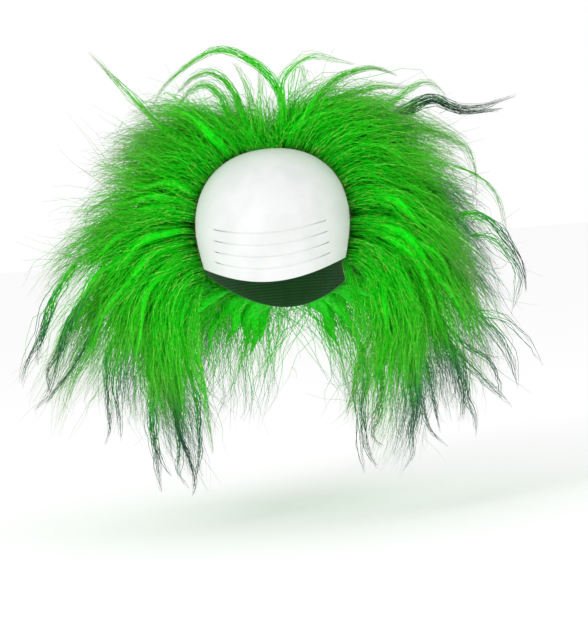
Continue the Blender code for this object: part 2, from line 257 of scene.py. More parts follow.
class Shader:
    """A material's or a group's node tree, with short ways to add to it."""

    def __init__(self, tree: bpy.types.NodeTree) -> None:
        """Keeps the tree that nodes are added to."""
        self.tree = tree

    def add(self, kind: str, values: dict[str | int, object] | None = None, **settings: object) -> Node:
        """Adds a node, sets its sockets and links those given as sockets.

        Args:
            kind: The node's Blender type.
            values: Input names or numbers, each with a value or an output socket.
            **settings: Attributes of the node.

        Returns:
            The new node.
        """
        node = self.tree.nodes.new(kind)
        for name, value in settings.items():
            setattr(node, name, value)
        self.fill(node, values or {})
        return node

    def fill(self, node: Node, values: dict[str | int, object]) -> None:
        """Sets a node's sockets and links those given as sockets.

        Args:
            node: The node.
            values: Input names or numbers, each with a value or an output socket.
        """
        for key, value in values.items():
            if isinstance(value, bpy.types.NodeSocket):
                self.tree.links.new(value, node.inputs[key])
            else:
                node.inputs[key].default_value = value

    def noise(self, place: Socket, scale: float, detail: float = 2.0) -> Socket:
        """Adds a noise pattern and returns its value, about 0.5 in the middle."""
        values = {"Vector": place, "Scale": scale, "Detail": detail}
        return self.add("ShaderNodeTexNoise", values).outputs[0]

    def between(self, value: Socket, low: float, high: float, to: Span = (0, 1)) -> Socket:
        """Adds a smooth step of a value from low to high.

        Args:
            value: The value that is read.
            low: Where the step starts.
            high: Where it ends.
            to: What it puts out at both ends.

        Returns:
            The step's output.
        """
        values = {"Value": value, "From Min": low, "From Max": high, "To Min": to[0], "To Max": to[1]}
        return self.add("ShaderNodeMapRange", values, interpolation_type="SMOOTHSTEP").outputs[0]

    def mix(self, share: Socket, first: Socket | Colour, second: Socket | Colour) -> Socket:
        """Mixes two colours by a share and returns the colour."""
        values = {"Factor": share, 6: first, 7: second}
        return self.add("ShaderNodeMix", values, data_type="RGBA").outputs[2]

    def sums(self, operation: str, first: Socket | float, second: Socket | float) -> Socket:
        """Adds a Math node of two inputs and returns its value."""
        return self.add("ShaderNodeMath", {0: first, 1: second}, operation=operation).outputs[0]

    def ridges(self, turn: Socket) -> Socket:
        """Gives the size of a value's sine, a row of rounded ridges."""
        sine = self.add("ShaderNodeMath", {0: turn}, operation="SINE").outputs[0]
        return self.sums("ABSOLUTE", sine, 0.0)

    def bump(self, height: Socket, strength: float, distance: float, under: Socket | None = None) -> Socket:
        """Adds a bump.

        Args:
            height: The relief, from 0 to 1.
            strength: How much of it shows.
            distance: Its height in metres.
            under: A normal that it is laid over.

        Returns:
            The bumped normal.
        """
        values = {"Strength": strength, "Distance": distance, "Height": height}
        if under is not None:
            values["Normal"] = under
        return self.add("ShaderNodeBump", values).outputs[0]

    def uneven(self, mottle: bpy.types.NodeTree, broad: float, fine: float) -> tuple[Socket, Socket]:
        """Places the group for uneven surfaces.

        Args:
            mottle: The group.
            broad: Scale of its mottling.
            fine: Scale of its grain.

        Returns:
            The mottling and the grain.
        """
        place = self.add("ShaderNodeTexCoord").outputs["Object"]
        values = {"Place": place, "Broad": broad, "Fine": fine}
        node = self.add("ShaderNodeGroup", values, node_tree=mottle)
        return node.outputs["Mottle"], node.outputs["Grain"]


def mottle_group() -> bpy.types.NodeTree:
    """Builds the group for uneven surfaces: broad mottling and fine grain.

    Returns:
        The group, with inputs Place, Broad and Fine and outputs Mottle and Grain.
    """
    group = bpy.data.node_groups.new("surface_mottle", "ShaderNodeTree")
    group.interface.new_socket("Place", in_out="INPUT", socket_type="NodeSocketVector")
    for name in ("Broad", "Fine"):
        group.interface.new_socket(name, in_out="INPUT", socket_type="NodeSocketFloat")
    for name in ("Mottle", "Grain"):
        group.interface.new_socket(name, in_out="OUTPUT", socket_type="NodeSocketFloat")
    shader = Shader(group)
    given = shader.add("NodeGroupInput").outputs
    mottle = shader.noise(given["Place"], given["Broad"], 3.0)
    grain = shader.noise(given["Place"], given["Fine"])
    shader.add("NodeGroupOutput", {"Mottle": mottle, "Grain": grain})
    return group


@dataclass(frozen=True)
class LatexFinish:
    """White moulded latex with a faint uneven sheen."""

    light: Colour = (0.86, 0.875, 0.865, 1.0)
    dull: Colour = (0.81, 0.828, 0.815, 1.0)
    roughness: Span = (0.36, 0.49)
    broad: float = 45.0
    fine: float = 1300.0

    def make(self, mottle: bpy.types.NodeTree) -> bpy.types.Material:
        """Makes the material.

        Args:
            mottle: The group for uneven surfaces.

        Returns:
            The material.
        """
        material, shader, body = new_material("white_latex")
        patches, grain = shader.uneven(mottle, self.broad, self.fine)
        soft = shader.bump(patches, 0.25, 0.0006)
        values = {
            "Base Color": shader.mix(shader.between(patches, 0.40, 0.66), self.light, self.dull),
            "Roughness": shader.between(patches, 0.3, 0.7, self.roughness),
            "Normal": shader.bump(grain, 0.30, 0.00010, soft),
            "Specular IOR Level": 0.45,
            "Subsurface Weight": 0.12,
            "Subsurface Radius": (1.0, 0.9, 0.8),
            "Subsurface Scale": 0.002,
        }
        shader.fill(body, values)
        return material


@dataclass(frozen=True)
class KnitFinish:
    """Fine stretch knit in rows of small loops, read from the cap's own map, with painted
    shade darkening the gaps between the loops.
    """

    # light: the loop tops; deep: painted shade in the gaps between the loops
    light: Colour = (0.030, 0.190, 0.040, 1.0)
    deep: Colour = (0.006, 0.055, 0.010, 1.0)
    loops: float = 210.0
    loop_height: float = 0.8
    row_shift: float = 1.3
    broad: float = 60.0
    fine: float = 1500.0

    def make(self, mottle: bpy.types.NodeTree) -> bpy.types.Material:
        """Makes the material.

        Args:
            mottle: The group for uneven surfaces.

        Returns:
            The material.
        """
        material, shader, body = new_material("green_knit")
        where = shader.add("ShaderNodeUVMap", uv_map="knit").outputs[0]
        around, down, _ = shader.add("ShaderNodeSeparateXYZ", {0: where}).outputs
        wales = shader.ridges(shader.sums("MULTIPLY", around, 2 * math.pi * self.loops))
        shift = shader.sums("MULTIPLY", wales, self.row_shift)
        rows = shader.sums("MULTIPLY", down, math.pi * self.loops * self.loop_height)
        relief = shader.sums("MULTIPLY", wales, shader.ridges(shader.sums("ADD", rows, shift)))
        patches, _ = shader.uneven(mottle, self.broad, self.fine)
        share = shader.sums("MULTIPLY", relief, shader.between(patches, 0.25, 0.65, (0.6, 1.0)))
        values = {
            # Painted shade: the deep colour between the loops, the light colour on the loop tops
            "Base Color": shader.mix(share, self.deep, self.light),
            "Normal": shader.bump(relief, 0.7, 0.0004),
            "Roughness": 0.85,
            "Sheen Weight": 0.25,
        }
        shader.fill(body, values)
        return material


@dataclass(frozen=True)
class HairFinish:
    """Crimped green fibre, darker at the root as painted shade, olive or sooty at the tip,
    with painted highlights and painted shadows in the crimp.
    """

    # root: darker green as painted shade deep in the hair near the roots
    root: Colour = (0.001, 0.330, 0.001, 1.0)
    low: Colour = (0.002, 0.760, 0.002, 1.0)
    bright: Colour = (0.002, 0.940, 0.002, 1.0)
    outer: Colour = (0.050, 0.760, 0.012, 1.0)
    olive: Colour = (0.190, 0.360, 0.060, 1.0)
    # glint: painted highlight colour on the crimp
    glint: Colour = (0.420, 0.950, 0.110, 1.0)
    # deep: painted shadow colour in the crimp
    deep: Colour = (0.010, 0.340, 0.004, 1.0)
    teal: Colour = (0.012, 0.130, 0.065, 1.0)
    soot: Colour = (0.022, 0.025, 0.027, 1.0)
    crimp: float = 300.0
    streak: float = 900.0
    streak_length: float = 0.10
    glint_share: float = 0.70
    crimp_shadow_share: float = 0.75

    def make(self) -> bpy.types.Material:
        """Makes the material, which reads the strands' own attributes.

        Returns:
            The material.
        """
        material, shader, body = new_material("green_hair")
        along, shade, soot = (
            shader.add("ShaderNodeAttribute", attribute_name=name).outputs["Fac"]
            for name in ("along", "shade", "soot")
        )
        both = self.crimps(shader)
        # Painted highlights: the glint colour where the crimp pattern is high
        glints = shader.sums("MULTIPLY", shader.between(both, 0.51, 0.61), shader.between(shade, 0.0, 0.7))
        glinting = shader.sums("MULTIPLY", glints, self.glint_share)
        lit = shader.mix(glinting, self.ramp(shader, along), self.glint)
        # Painted shadows: the deep colour where the crimp pattern is low
        shaded = shader.sums("MULTIPLY", shader.between(both, 0.48, 0.38), shader.between(shade, 0.9, 0.2))
        dark = shader.mix(shader.sums("MULTIPLY", shaded, self.crimp_shadow_share), lit, self.deep)
        first = shader.sums("MULTIPLY", soot, shader.between(along, 0.66, 0.84))
        last = shader.sums("MULTIPLY", soot, shader.between(along, 0.74, 0.90))
        values = {
            "Base Color": shader.mix(last, shader.mix(first, dark, self.teal), self.soot),
            "Roughness": shader.between(both, 0.35, 0.65, (0.62, 0.46)),
            "Normal": shader.bump(both, 0.6, 0.0006),
            "Specular IOR Level": 0.14,
            "Subsurface Weight": 0.45,
            "Subsurface Radius": (0.4, 1.0, 0.4),
            "Subsurface Scale": 0.004,
        }
        shader.fill(body, values)
        return material

    def crimps(self, shader: Shader) -> Socket:
        """Mixes streaks along each fibre with the crimp across the hair.

        Args:
            shader: The material's shader builder.

        Returns:
            The pattern's value, about 0.5 in the middle.
        """
        fibre = shader.add("ShaderNodeAttribute", attribute_name="fibre").outputs["Vector"]
        scale = (1.0, 1.0, self.streak_length)
        combed = shader.add("ShaderNodeMapping", {"Vector": fibre, "Scale": scale}).outputs[0]
        place = shader.add("ShaderNodeTexCoord").outputs["Object"]
        streaks, crimps = shader.noise(combed, self.streak, 3.0), shader.noise(place, self.crimp, 3.0)
        return shader.sums("MULTIPLY", shader.sums("ADD", streaks, crimps), 0.5)

    def ramp(self, shader: Shader, along: Socket) -> Socket:
        """Runs the greens from the root to the tip of a hair; the darker root is painted shade.

        Args:
            shader: The material's shader builder.
            along: The place along the hair, 0 at the root.

        Returns:
            The colour.
        """
        ramp = shader.add("ShaderNodeValToRGB", {0: along})
        stops = ramp.color_ramp.elements
        stops[0].color = self.root
        stops[1].color = self.olive
        for position, colour in ((0.10, self.low), (0.34, self.bright), (0.78, self.outer)):
            stops.new(position).color = colour
        return ramp.outputs[0]


@dataclass(frozen=True)
class ThreadFinish:
    """Buff sewing thread."""

    light: Colour = (0.62, 0.50, 0.24, 1.0)
    deep: Colour = (0.34, 0.24, 0.10, 1.0)
    twist: float = 2500.0

    def make(self) -> bpy.types.Material:
        """Makes the material.

        Returns:
            The material.
        """
        material, shader, body = new_material("buff_thread")
        place = shader.add("ShaderNodeTexCoord").outputs["Object"]
        twist = shader.noise(place, self.twist)
        shader.fill(body, {"Base Color": shader.mix(twist, self.deep, self.light), "Roughness": 0.7})
        return material


def new_material(name: str) -> tuple[bpy.types.Material, Shader, Node]:
    """Makes a material with its Principled shader.

    Args:
        name: The material's name.

    Returns:
        The material, its shader builder and its Principled node.
    """
    material = bpy.data.materials.new(name)
    material.use_nodes = True
    return material, Shader(material.node_tree), material.node_tree.nodes["Principled BSDF"]


def new_mesh(name: str, shape: bmesh.types.BMesh) -> bpy.types.Mesh:
    """Writes a shape to a new mesh and frees the shape.

    Args:
        name: The mesh's name.
        shape: The shape, which can't be used afterwards.

    Returns:
        The mesh.
    """
    mesh = bpy.data.meshes.new(name)
    shape.to_mesh(mesh)
    shape.free()
    return mesh


def new_piece(name: str, mesh: bpy.types.Mesh, material: bpy.types.Material) -> bpy.types.Object:
    """Links a mesh as a piece that rides on the wig's one body.

    Args:
        name: The piece's name.
        mesh: Its mesh, in place.
        material: Its material.

    Returns:
        The piece.
    """
    piece = bpy.data.objects.new(name, mesh)
    bpy.context.scene.collection.objects.link(piece)
    mesh.materials.append(material)
    mesh.polygons.foreach_set("use_smooth", [True] * len(mesh.polygons))
    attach(piece, "root")
    logger.info("%s: %d faces", name, len(mesh.polygons))
    return piece


# Latex and cap


class Side(Enum):
    """Which side of the hairline a sheet keeps."""

    FRONT = "front"
    BACK = "back"


@dataclass
class HeadSheet:
    """A sheet on the head form, cut at the hairline and given a wall. Edges that turn
    by more than sharp_angle are rounded by a share of the wall."""

    form: HeadForm
    name: str
    offset: float
    wall: float
    columns: int
    side: Side
    lap: float = 0.0
    rings: int = 30
    sharp_angle: float = 1.0
    rounding: float = 0.33

    def ring_shares(self) -> list[float]:
        """Gives the depth of each ring as a share of the rim depth."""
        return [1 - math.cos(QUARTER_TURN * ring / self.rings) for ring in range(self.rings + 1)]

    def sunk(self, azimuth: float, depth: float) -> float:
        """Gives how far the sheet is pressed in at a place."""
        return 0.0

    def sheet(self) -> bmesh.types.BMesh:
        """Shapes half of a sphere to the head form and cuts it at the hairline.

        Returns:
            The open sheet, facing outwards.
        """
        shares = self.ring_shares()
        rings = len(shares) - 1
        sheet = bmesh.new()
        bmesh.ops.create_uvsphere(sheet, u_segments=self.columns, v_segments=2 * rings, radius=1.0)
        below = [vert for vert in sheet.verts if vert.co.z < -1e-4]
        bmesh.ops.delete(sheet, geom=below, context="VERTS")
        for vert in sheet.verts:
            tilt = math.acos(max(-1.0, min(1.0, vert.co.z)))
            share = float(np.interp(tilt / QUARTER_TURN * rings, range(rings + 1), shares))
            azimuth = math.atan2(vert.co.x, -vert.co.y)
            depth = share * self.form.rim_depth(azimuth)
            vert.co = self.form.point(azimuth, depth, self.offset - self.sunk(azimuth, depth))
        bmesh.ops.bisect_plane(
            sheet,
            geom=sheet.verts[:] + sheet.edges[:] + sheet.faces[:],
            dist=TINY,
            plane_co=(0, self.form.hairline_setback + self.lap, 0),
            plane_no=Vector((0, 1, -self.form.hairline_lean)),
            clear_outer=self.side is Side.FRONT,
            clear_inner=self.side is Side.BACK,
        )
        bmesh.ops.recalc_face_normals(sheet, faces=sheet.faces)
        return sheet

    def build(self) -> bpy.types.Mesh:
        """Gives the sheet its wall, rounded edges and its own map.

        Returns:
            The mesh.
        """
        sheet = self.sheet()
        geometry = sheet.verts[:] + sheet.edges[:] + sheet.faces[:]
        bmesh.ops.solidify(sheet, geom=geometry, thickness=-self.wall)
        joined = [edge for edge in sheet.edges if edge.is_manifold]
        sharp = [edge for edge in joined if edge.calc_face_angle() > self.sharp_angle]
        bmesh.ops.bevel(
            sheet,
            geom=sharp,
            offset=self.wall * self.rounding,
            segments=2,
            profile=0.5,
            affect="EDGES",
            material=-1,
        )
        layer = sheet.loops.layers.uv.new("knit")
        around = 2 * math.pi
        for face in sheet.faces:
            for loop in face.loops:
                spot = loop.vert.co
                azimuth = math.atan2(spot.x, spot.y)
                loop[layer].uv = (azimuth / around + 0.5, spot.z / (around * self.form.half_width))
        return new_mesh(self.name, sheet)


@dataclass
class LatexFront(HeadSheet):
    """The bald front with its moulded forehead wrinkles, each a groove with a soft
    roll under it. Rings of the sheet lie close together at each groove."""

    wrinkles: int = 4
    pitch: float = 0.0105
    above_brow: float = 0.0115
    groove_depth: float = 0.0017
    groove_width: float = 0.00075
    roll_height: float = 0.0006
    roll_place: float = 0.0034
    roll_width: float = 0.0028
    half_span: float = 0.053
    rings_above: int = 24
    rings_below: int = 5
    first_ring: float = 0.0060
    groove_rings: tuple[float, ...] = (
        -0.0036, -0.0020, -0.0012, -0.0007, -0.0003, 0.0001, 0.0005, 0.0010, 0.0018, 0.0032,
    )

    def wrinkle_shares(self) -> list[float]:
        """Gives each wrinkle's depth at mid brow.

        Returns:
            Shares of the brow's depth, from the top.
        """
        brow = self.form.brow_depth
        rising = reversed(range(self.wrinkles))
        return [(brow - self.above_brow - number * self.pitch) / brow for number in rising]

    def ring_shares(self) -> list[float]:
        """Gives ring depths that lie close together at each wrinkle.

        Returns:
            The depth of each ring as a share of the rim depth.
        """
        brow = self.form.brow_depth
        first = self.wrinkle_shares()[0] - self.first_ring / brow
        steps = range(self.rings_above + 1)
        shares = [first * (1 - math.cos(QUARTER_TURN * ring / self.rings_above)) for ring in steps]
        for share in self.wrinkle_shares():
            shares += [share + step / brow for step in self.groove_rings]
        last = shares[-1]
        steps = range(1, self.rings_below + 1)
        return shares + [last + (1 - last) * step / self.rings_below for step in steps]

    def sunk(self, azimuth: float, depth: float) -> float:
        """Presses a groove at each wrinkle, with a soft roll under it.

        Args:
            azimuth: Angle from the face towards the wearer's left, in radians.
            depth: Depth below the crown.

        Returns:
            The depth of the press, below 0 on a roll.
        """
        across = self.form.half_width * math.sin(azimuth)
        if math.cos(azimuth) < 0 or abs(across) >= self.half_span:
            return 0.0
        pressed = 0.0
        for share in self.wrinkle_shares():
            away = depth - share * self.form.rim_depth(azimuth)
            pressed += self.groove_depth * math.exp(-((away / self.groove_width) ** 2))
            pressed -= self.roll_height * math.exp(-(((away - self.roll_place) / self.roll_width) ** 2))
        return pressed * math.cos(QUARTER_TURN * across / self.half_span)


@dataclass
class EdgeStitches:
    """Small stitches over the latex edge, from temple to temple."""

    form: HeadForm
    pitch_degrees: float = 3.2
    length: float = 0.0030
    thickness: float = 0.0005
    flatness: float = 0.7
    reach: float = 100.0
    ahead: float = 0.0006
    offset: float = 0.0034

    def build(self) -> bpy.types.Mesh:
        """Lays one small bead of thread across the edge at each bearing.

        Returns:
            The mesh.
        """
        bearings = np.arange(-self.reach, self.reach, self.pitch_degrees)
        flat = np.ones_like(bearings)
        setback = self.form.hairline_setback - self.ahead
        places = self.form.roots(bearings, flat * setback, flat * self.form.hairline_lean, self.offset)
        size = Matrix.Diagonal((self.length / 2, self.thickness, self.thickness * self.flatness))
        beads = bmesh.new()
        for place, normal in zip(places, self.form.outward(places)):
            up = Vector(normal)
            run = Vector((0, 1, 0)) - up * up.y
            turn = Matrix((run.normalized(), run.cross(up).normalized(), up)).transposed()
            matrix = Matrix.Translation(Vector(place)) @ (turn @ size).to_4x4()
            bmesh.ops.create_uvsphere(beads, u_segments=8, v_segments=6, radius=1.0, matrix=matrix)
        bmesh.ops.recalc_face_normals(beads, faces=beads.faces)
        return new_mesh("edge_stitches", beads)


# Hair


@dataclass
class Strands:
    """Hairs of one kind as arrays, a row for each hair. A core is a thick hair of
    many sides, which fills the inside of a lock."""

    points: Array
    radius: Array
    start: Array
    reach: Array
    shade: Array
    soot: Array
    sides: int = 3

    @property
    def count(self) -> int:
        """How many hairs there are."""
        return len(self.points)

    def only(self, chosen: NDArray[np.bool_]) -> "Strands":
        """Gives the chosen hairs."""
        rows = (self.points, self.radius, self.start, self.reach, self.shade, self.soot)
        return Strands(*(values[chosen] for values in rows), sides=self.sides)

    def frames(self, rng: np.random.Generator) -> tuple[Array, Array]:
        """Gives the two cross directions at each station of each hair.

        Args:
            rng: The source of chance.

        Returns:
            Both directions as arrays of hair, station and x, y, z.
        """
        ahead = unit(np.gradient(self.points, axis=1))
        chord = unit(self.points[:, -1] - self.points[:, 0])
        lean = unit(np.cross(chord, rng.normal(size=chord.shape)))
        side = unit(np.cross(ahead, np.broadcast_to(lean[:, None, :], ahead.shape)))
        return side, np.cross(ahead, side)

    def relief(self, rng: np.random.Generator) -> Array:
        """Gives a core its lobes along and dents, and leaves a thin hair round.

        Args:
            rng: The source of chance.

        Returns:
            Shares of the radius as an array of hair, station and corner.
        """
        shape = (self.count, self.points.shape[1], self.sides)
        if self.sides == 3:
            return np.ones(shape)
        lobes = rng.uniform(0.82, 1.18, (self.count, 1, self.sides))
        return np.broadcast_to(lobes, shape) * rng.uniform(0.93, 1.07, shape)

    def rings(self, rng: np.random.Generator) -> tuple[Array, Array]:
        """Lays corners round each station of each hair.

        Args:
            rng: The source of chance.

        Returns:
            Points as an array of hair, station, corner and x, y, z, and for each
            its place in the hair's own fibre: two across and one along.
        """
        side, over = self.frames(rng)
        corners = np.linspace(0, 2 * math.pi, self.sides, endpoint=False)
        distance = self.radius[:, :, None] * self.relief(rng)
        across = distance * np.cos(corners)
        along = distance * np.sin(corners)
        spread = across[..., None] * side[:, :, None, :] + along[..., None] * over[:, :, None, :]
        steps = np.linalg.norm(np.diff(self.points, axis=1), axis=2)
        run = np.concatenate((np.zeros((self.count, 1)), np.cumsum(steps, axis=1)), axis=1)
        place = rng.uniform(0, 1, (self.count, 1, 1, 3))
        own = np.stack((across, along, np.broadcast_to(run[:, :, None], across.shape)), axis=3)
        return self.points[:, :, None, :] + spread, own + place


@dataclass
class StrandMesh:
    """Makes one closed mesh of many hairs, with a cell of its map for each. A cell's
    margins are shares of it: beside the wall, and above and below it for the ends."""

    name: str
    bundles: list[Strands]
    rng: np.random.Generator
    beside: float = 0.05
    above: float = 0.10
    end_low: Span = (0.02, 0.07)
    end_high: Span = (0.93, 0.98)

    def template(self, stations: int, sides: int) -> tuple[NDArray[np.int64], Array]:
        """Gives one hair's triangles and their places in its cell of the map.

        Args:
            stations: How many stations the hair has.
            sides: How many corners it has round each station.

        Returns:
            Corner numbers as rows of three, and u and v for each corner.
        """
        faces: list[tuple[int, int, int]] = []
        places: list[Span] = []
        top = sides * (stations - 1)
        wide, tall = 1 - 2 * self.beside, 1 - 2 * self.above
        (low, under), (over, high) = self.end_low, self.end_high
        for corner in range(1, sides - 1):
            left = self.above + tall * (corner - 1) / (sides - 2)
            right = self.above + tall * corner / (sides - 2)
            faces.append((0, corner + 1, corner))
            places += [(left, low), (right, under), (right, low)]
            faces.append((top, top + corner, top + corner + 1))
            places += [(left, over), (right, over), (right, high)]
        for station in range(stations - 1):
            low = self.above + tall * station / (stations - 1)
            high = self.above + tall * (station + 1) / (stations - 1)
            for corner in range(sides):
                after = (corner + 1) % sides
                here, there = sides * station, sides * station + sides
                left, right = (self.beside + wide * edge / sides for edge in (corner, corner + 1))
                faces.append((here + corner, here + after, there + after))
                places += [(left, low), (right, low), (right, high)]
                faces.append((here + corner, there + after, there + corner))
                places += [(left, low), (right, high), (left, high)]
        return np.array(faces), np.array(places)

    def build(self) -> bpy.types.Mesh:
        """Joins the bundles' hairs to one mesh.

        Returns:
            The mesh, with the attributes along, shade, soot and fibre.
        """
        grid = math.ceil(math.sqrt(sum(bundle.count for bundle in self.bundles)))
        verts, fibres, faces, places = [], [], [], []
        marks: dict[str, list[Array]] = {"along": [], "shade": [], "soot": []}
        first, done = 0, 0
        for bundle in self.bundles:
            stations = bundle.points.shape[1]
            pattern, cell = self.template(stations, bundle.sides)
            points, own = bundle.rings(self.rng)
            verts.append(points.reshape(-1, 3))
            fibres.append(own.reshape(-1, 3))
            base = first + bundle.sides * stations * np.arange(bundle.count)
            faces.append((base[:, None, None] + pattern[None, :, :]).reshape(-1, 3))
            number = done + np.arange(bundle.count)
            corner = np.stack((number % grid, number // grid), axis=1)
            places.append(((corner[:, None, :] + cell[None, :, :]) / grid).reshape(-1, 2))
            share = np.linspace(0, 1, stations)[None, :]
            run = bundle.start[:, None] + (bundle.reach - bundle.start)[:, None] * share
            values = {
                "along": run,
                "shade": np.broadcast_to(bundle.shade[:, None], run.shape),
                "soot": np.broadcast_to(bundle.soot[:, None], run.shape),
            }
            for name, value in values.items():
                marks[name].append(np.repeat(value.ravel(), bundle.sides))
            first += bundle.sides * stations * bundle.count
            done += bundle.count
        mesh = self.joined(np.concatenate(verts), np.concatenate(faces), np.concatenate(places))
        for name, parts in marks.items():
            attribute = mesh.attributes.new(name, "FLOAT", "POINT")
            attribute.data.foreach_set("value", np.concatenate(parts).astype(np.float32))
        fibre = mesh.attributes.new("fibre", "FLOAT_VECTOR", "POINT")
        fibre.data.foreach_set("vector", np.concatenate(fibres).astype(np.float32).ravel())
        mesh.validate()
        return mesh

    def joined(self, verts: Array, corners: NDArray[np.int64], places: Array) -> bpy.types.Mesh:
        """Makes a mesh of triangles with its map.

        Args:
            verts: Points as rows.
            corners: Point numbers as rows of three.
            places: The map's u and v for each corner.

        Returns:
            The mesh.
        """
        mesh = bpy.data.meshes.new(self.name)
        mesh.vertices.add(len(verts))
        mesh.loops.add(corners.size)
        mesh.polygons.add(len(corners))
        mesh.vertices.foreach_set("co", verts.ravel())
        mesh.loops.foreach_set("vertex_index", corners.ravel())
        mesh.polygons.foreach_set("loop_start", np.arange(0, corners.size, 3))
        mesh.update(calc_edges=True)
        mesh.uv_layers.new(name=STRAND_MAP).uv.foreach_set("vector", places.ravel())
        return mesh


@dataclass
class Locks:
    """Locks of hair as arrays, a row for each: where they are rooted, where they
    point and how they bow. The hairs of a lock share its wave."""

    bearing: Array
    y_at_zero: Array
    slope: Array
    tip: Array
    lift: Array
    bow: Array
    arrive: Array
    soot: Array

    @property
    def count(self) -> int:
        """How many locks there are."""
        return len(self.bearing)


@dataclass(frozen=True)
class Comb:
    """How a lock's hairs lie: their spread at the root, the middle and the tip, their
    wave, kinks and width in metres, and the share that strays. The core's radius is
    at its widest, and frizz is the number of short stray ends for each hair."""

    root_degrees: float = 3.6
    root_depth: float = 0.006
    middle: float = 0.0080
    tip: float = 0.0042
    wave: float = 0.0030
    kink: float = 0.0013
    width: float = 0.00070
    stray: float = 0.08
    stray_spread: float = 2.2
    stations: int = 12
    core: float = 0.0043
    core_end: float = 0.74
    core_stations: int = 13
    frizz: float = 0.45


@dataclass(frozen=True)
class FrizzEnds:
    """Short curled ends that stand off a hair: where along it, how far they turn away
    from it and curl, their length and radius in metres, and the length of hair that
    a whole run of colour takes."""

    place: Span = (0.25, 0.95)
    ahead: float = 0.8
    turned: float = 0.42
    curl: float = 0.35
    length: Span = (0.012, 0.042)
    radius: Span = (0.00018, 0.00030)
    shake: float = 0.0008
    stations: int = 5
    colour_run: float = 0.22


@dataclass(frozen=True)
class HairSpread:
    """Where chance takes the hairs and the core of a lock, as the least and the most
    of what the lock says, and how a hair thins out towards its tip."""

    lift: Span = (0.75, 1.25)
    bow: Span = (0.85, 1.15)
    width: Span = (0.7, 1.25)
    soot: Span = (0.75, 1.0)
    end: Span = (0.5, 1.02)
    end_spread: float = 0.13
    settle: float = 0.2
    shade: float = 0.5
    shade_spread: float = 0.22
    lock_shade: float = 0.2
    blunt: float = 0.12
    taper: float = 2.5
    core_end: Span = (0.88, 1.06)
    core_width: Span = (0.8, 1.2)
    # Cores get low shade values: more painted shadow and fewer painted highlights inside the lock
    core_shade: Span = (0.0, 0.3)
    core_soot: float = 0.6


@dataclass(frozen=True)
class LockWave:
    """The wave of a lock: the share of its length over which it grows, the least size
    and what chance adds, the same for its pitch in metres, how many radians each hair
    is out of step with the one before, and the pitch of the wave across it."""

    grows: float = 0.35
    size: Span = (0.4, 1.1)
    pitch: Span = (0.050, 0.045)
    step: float = 2.4
    bob: float = 0.8


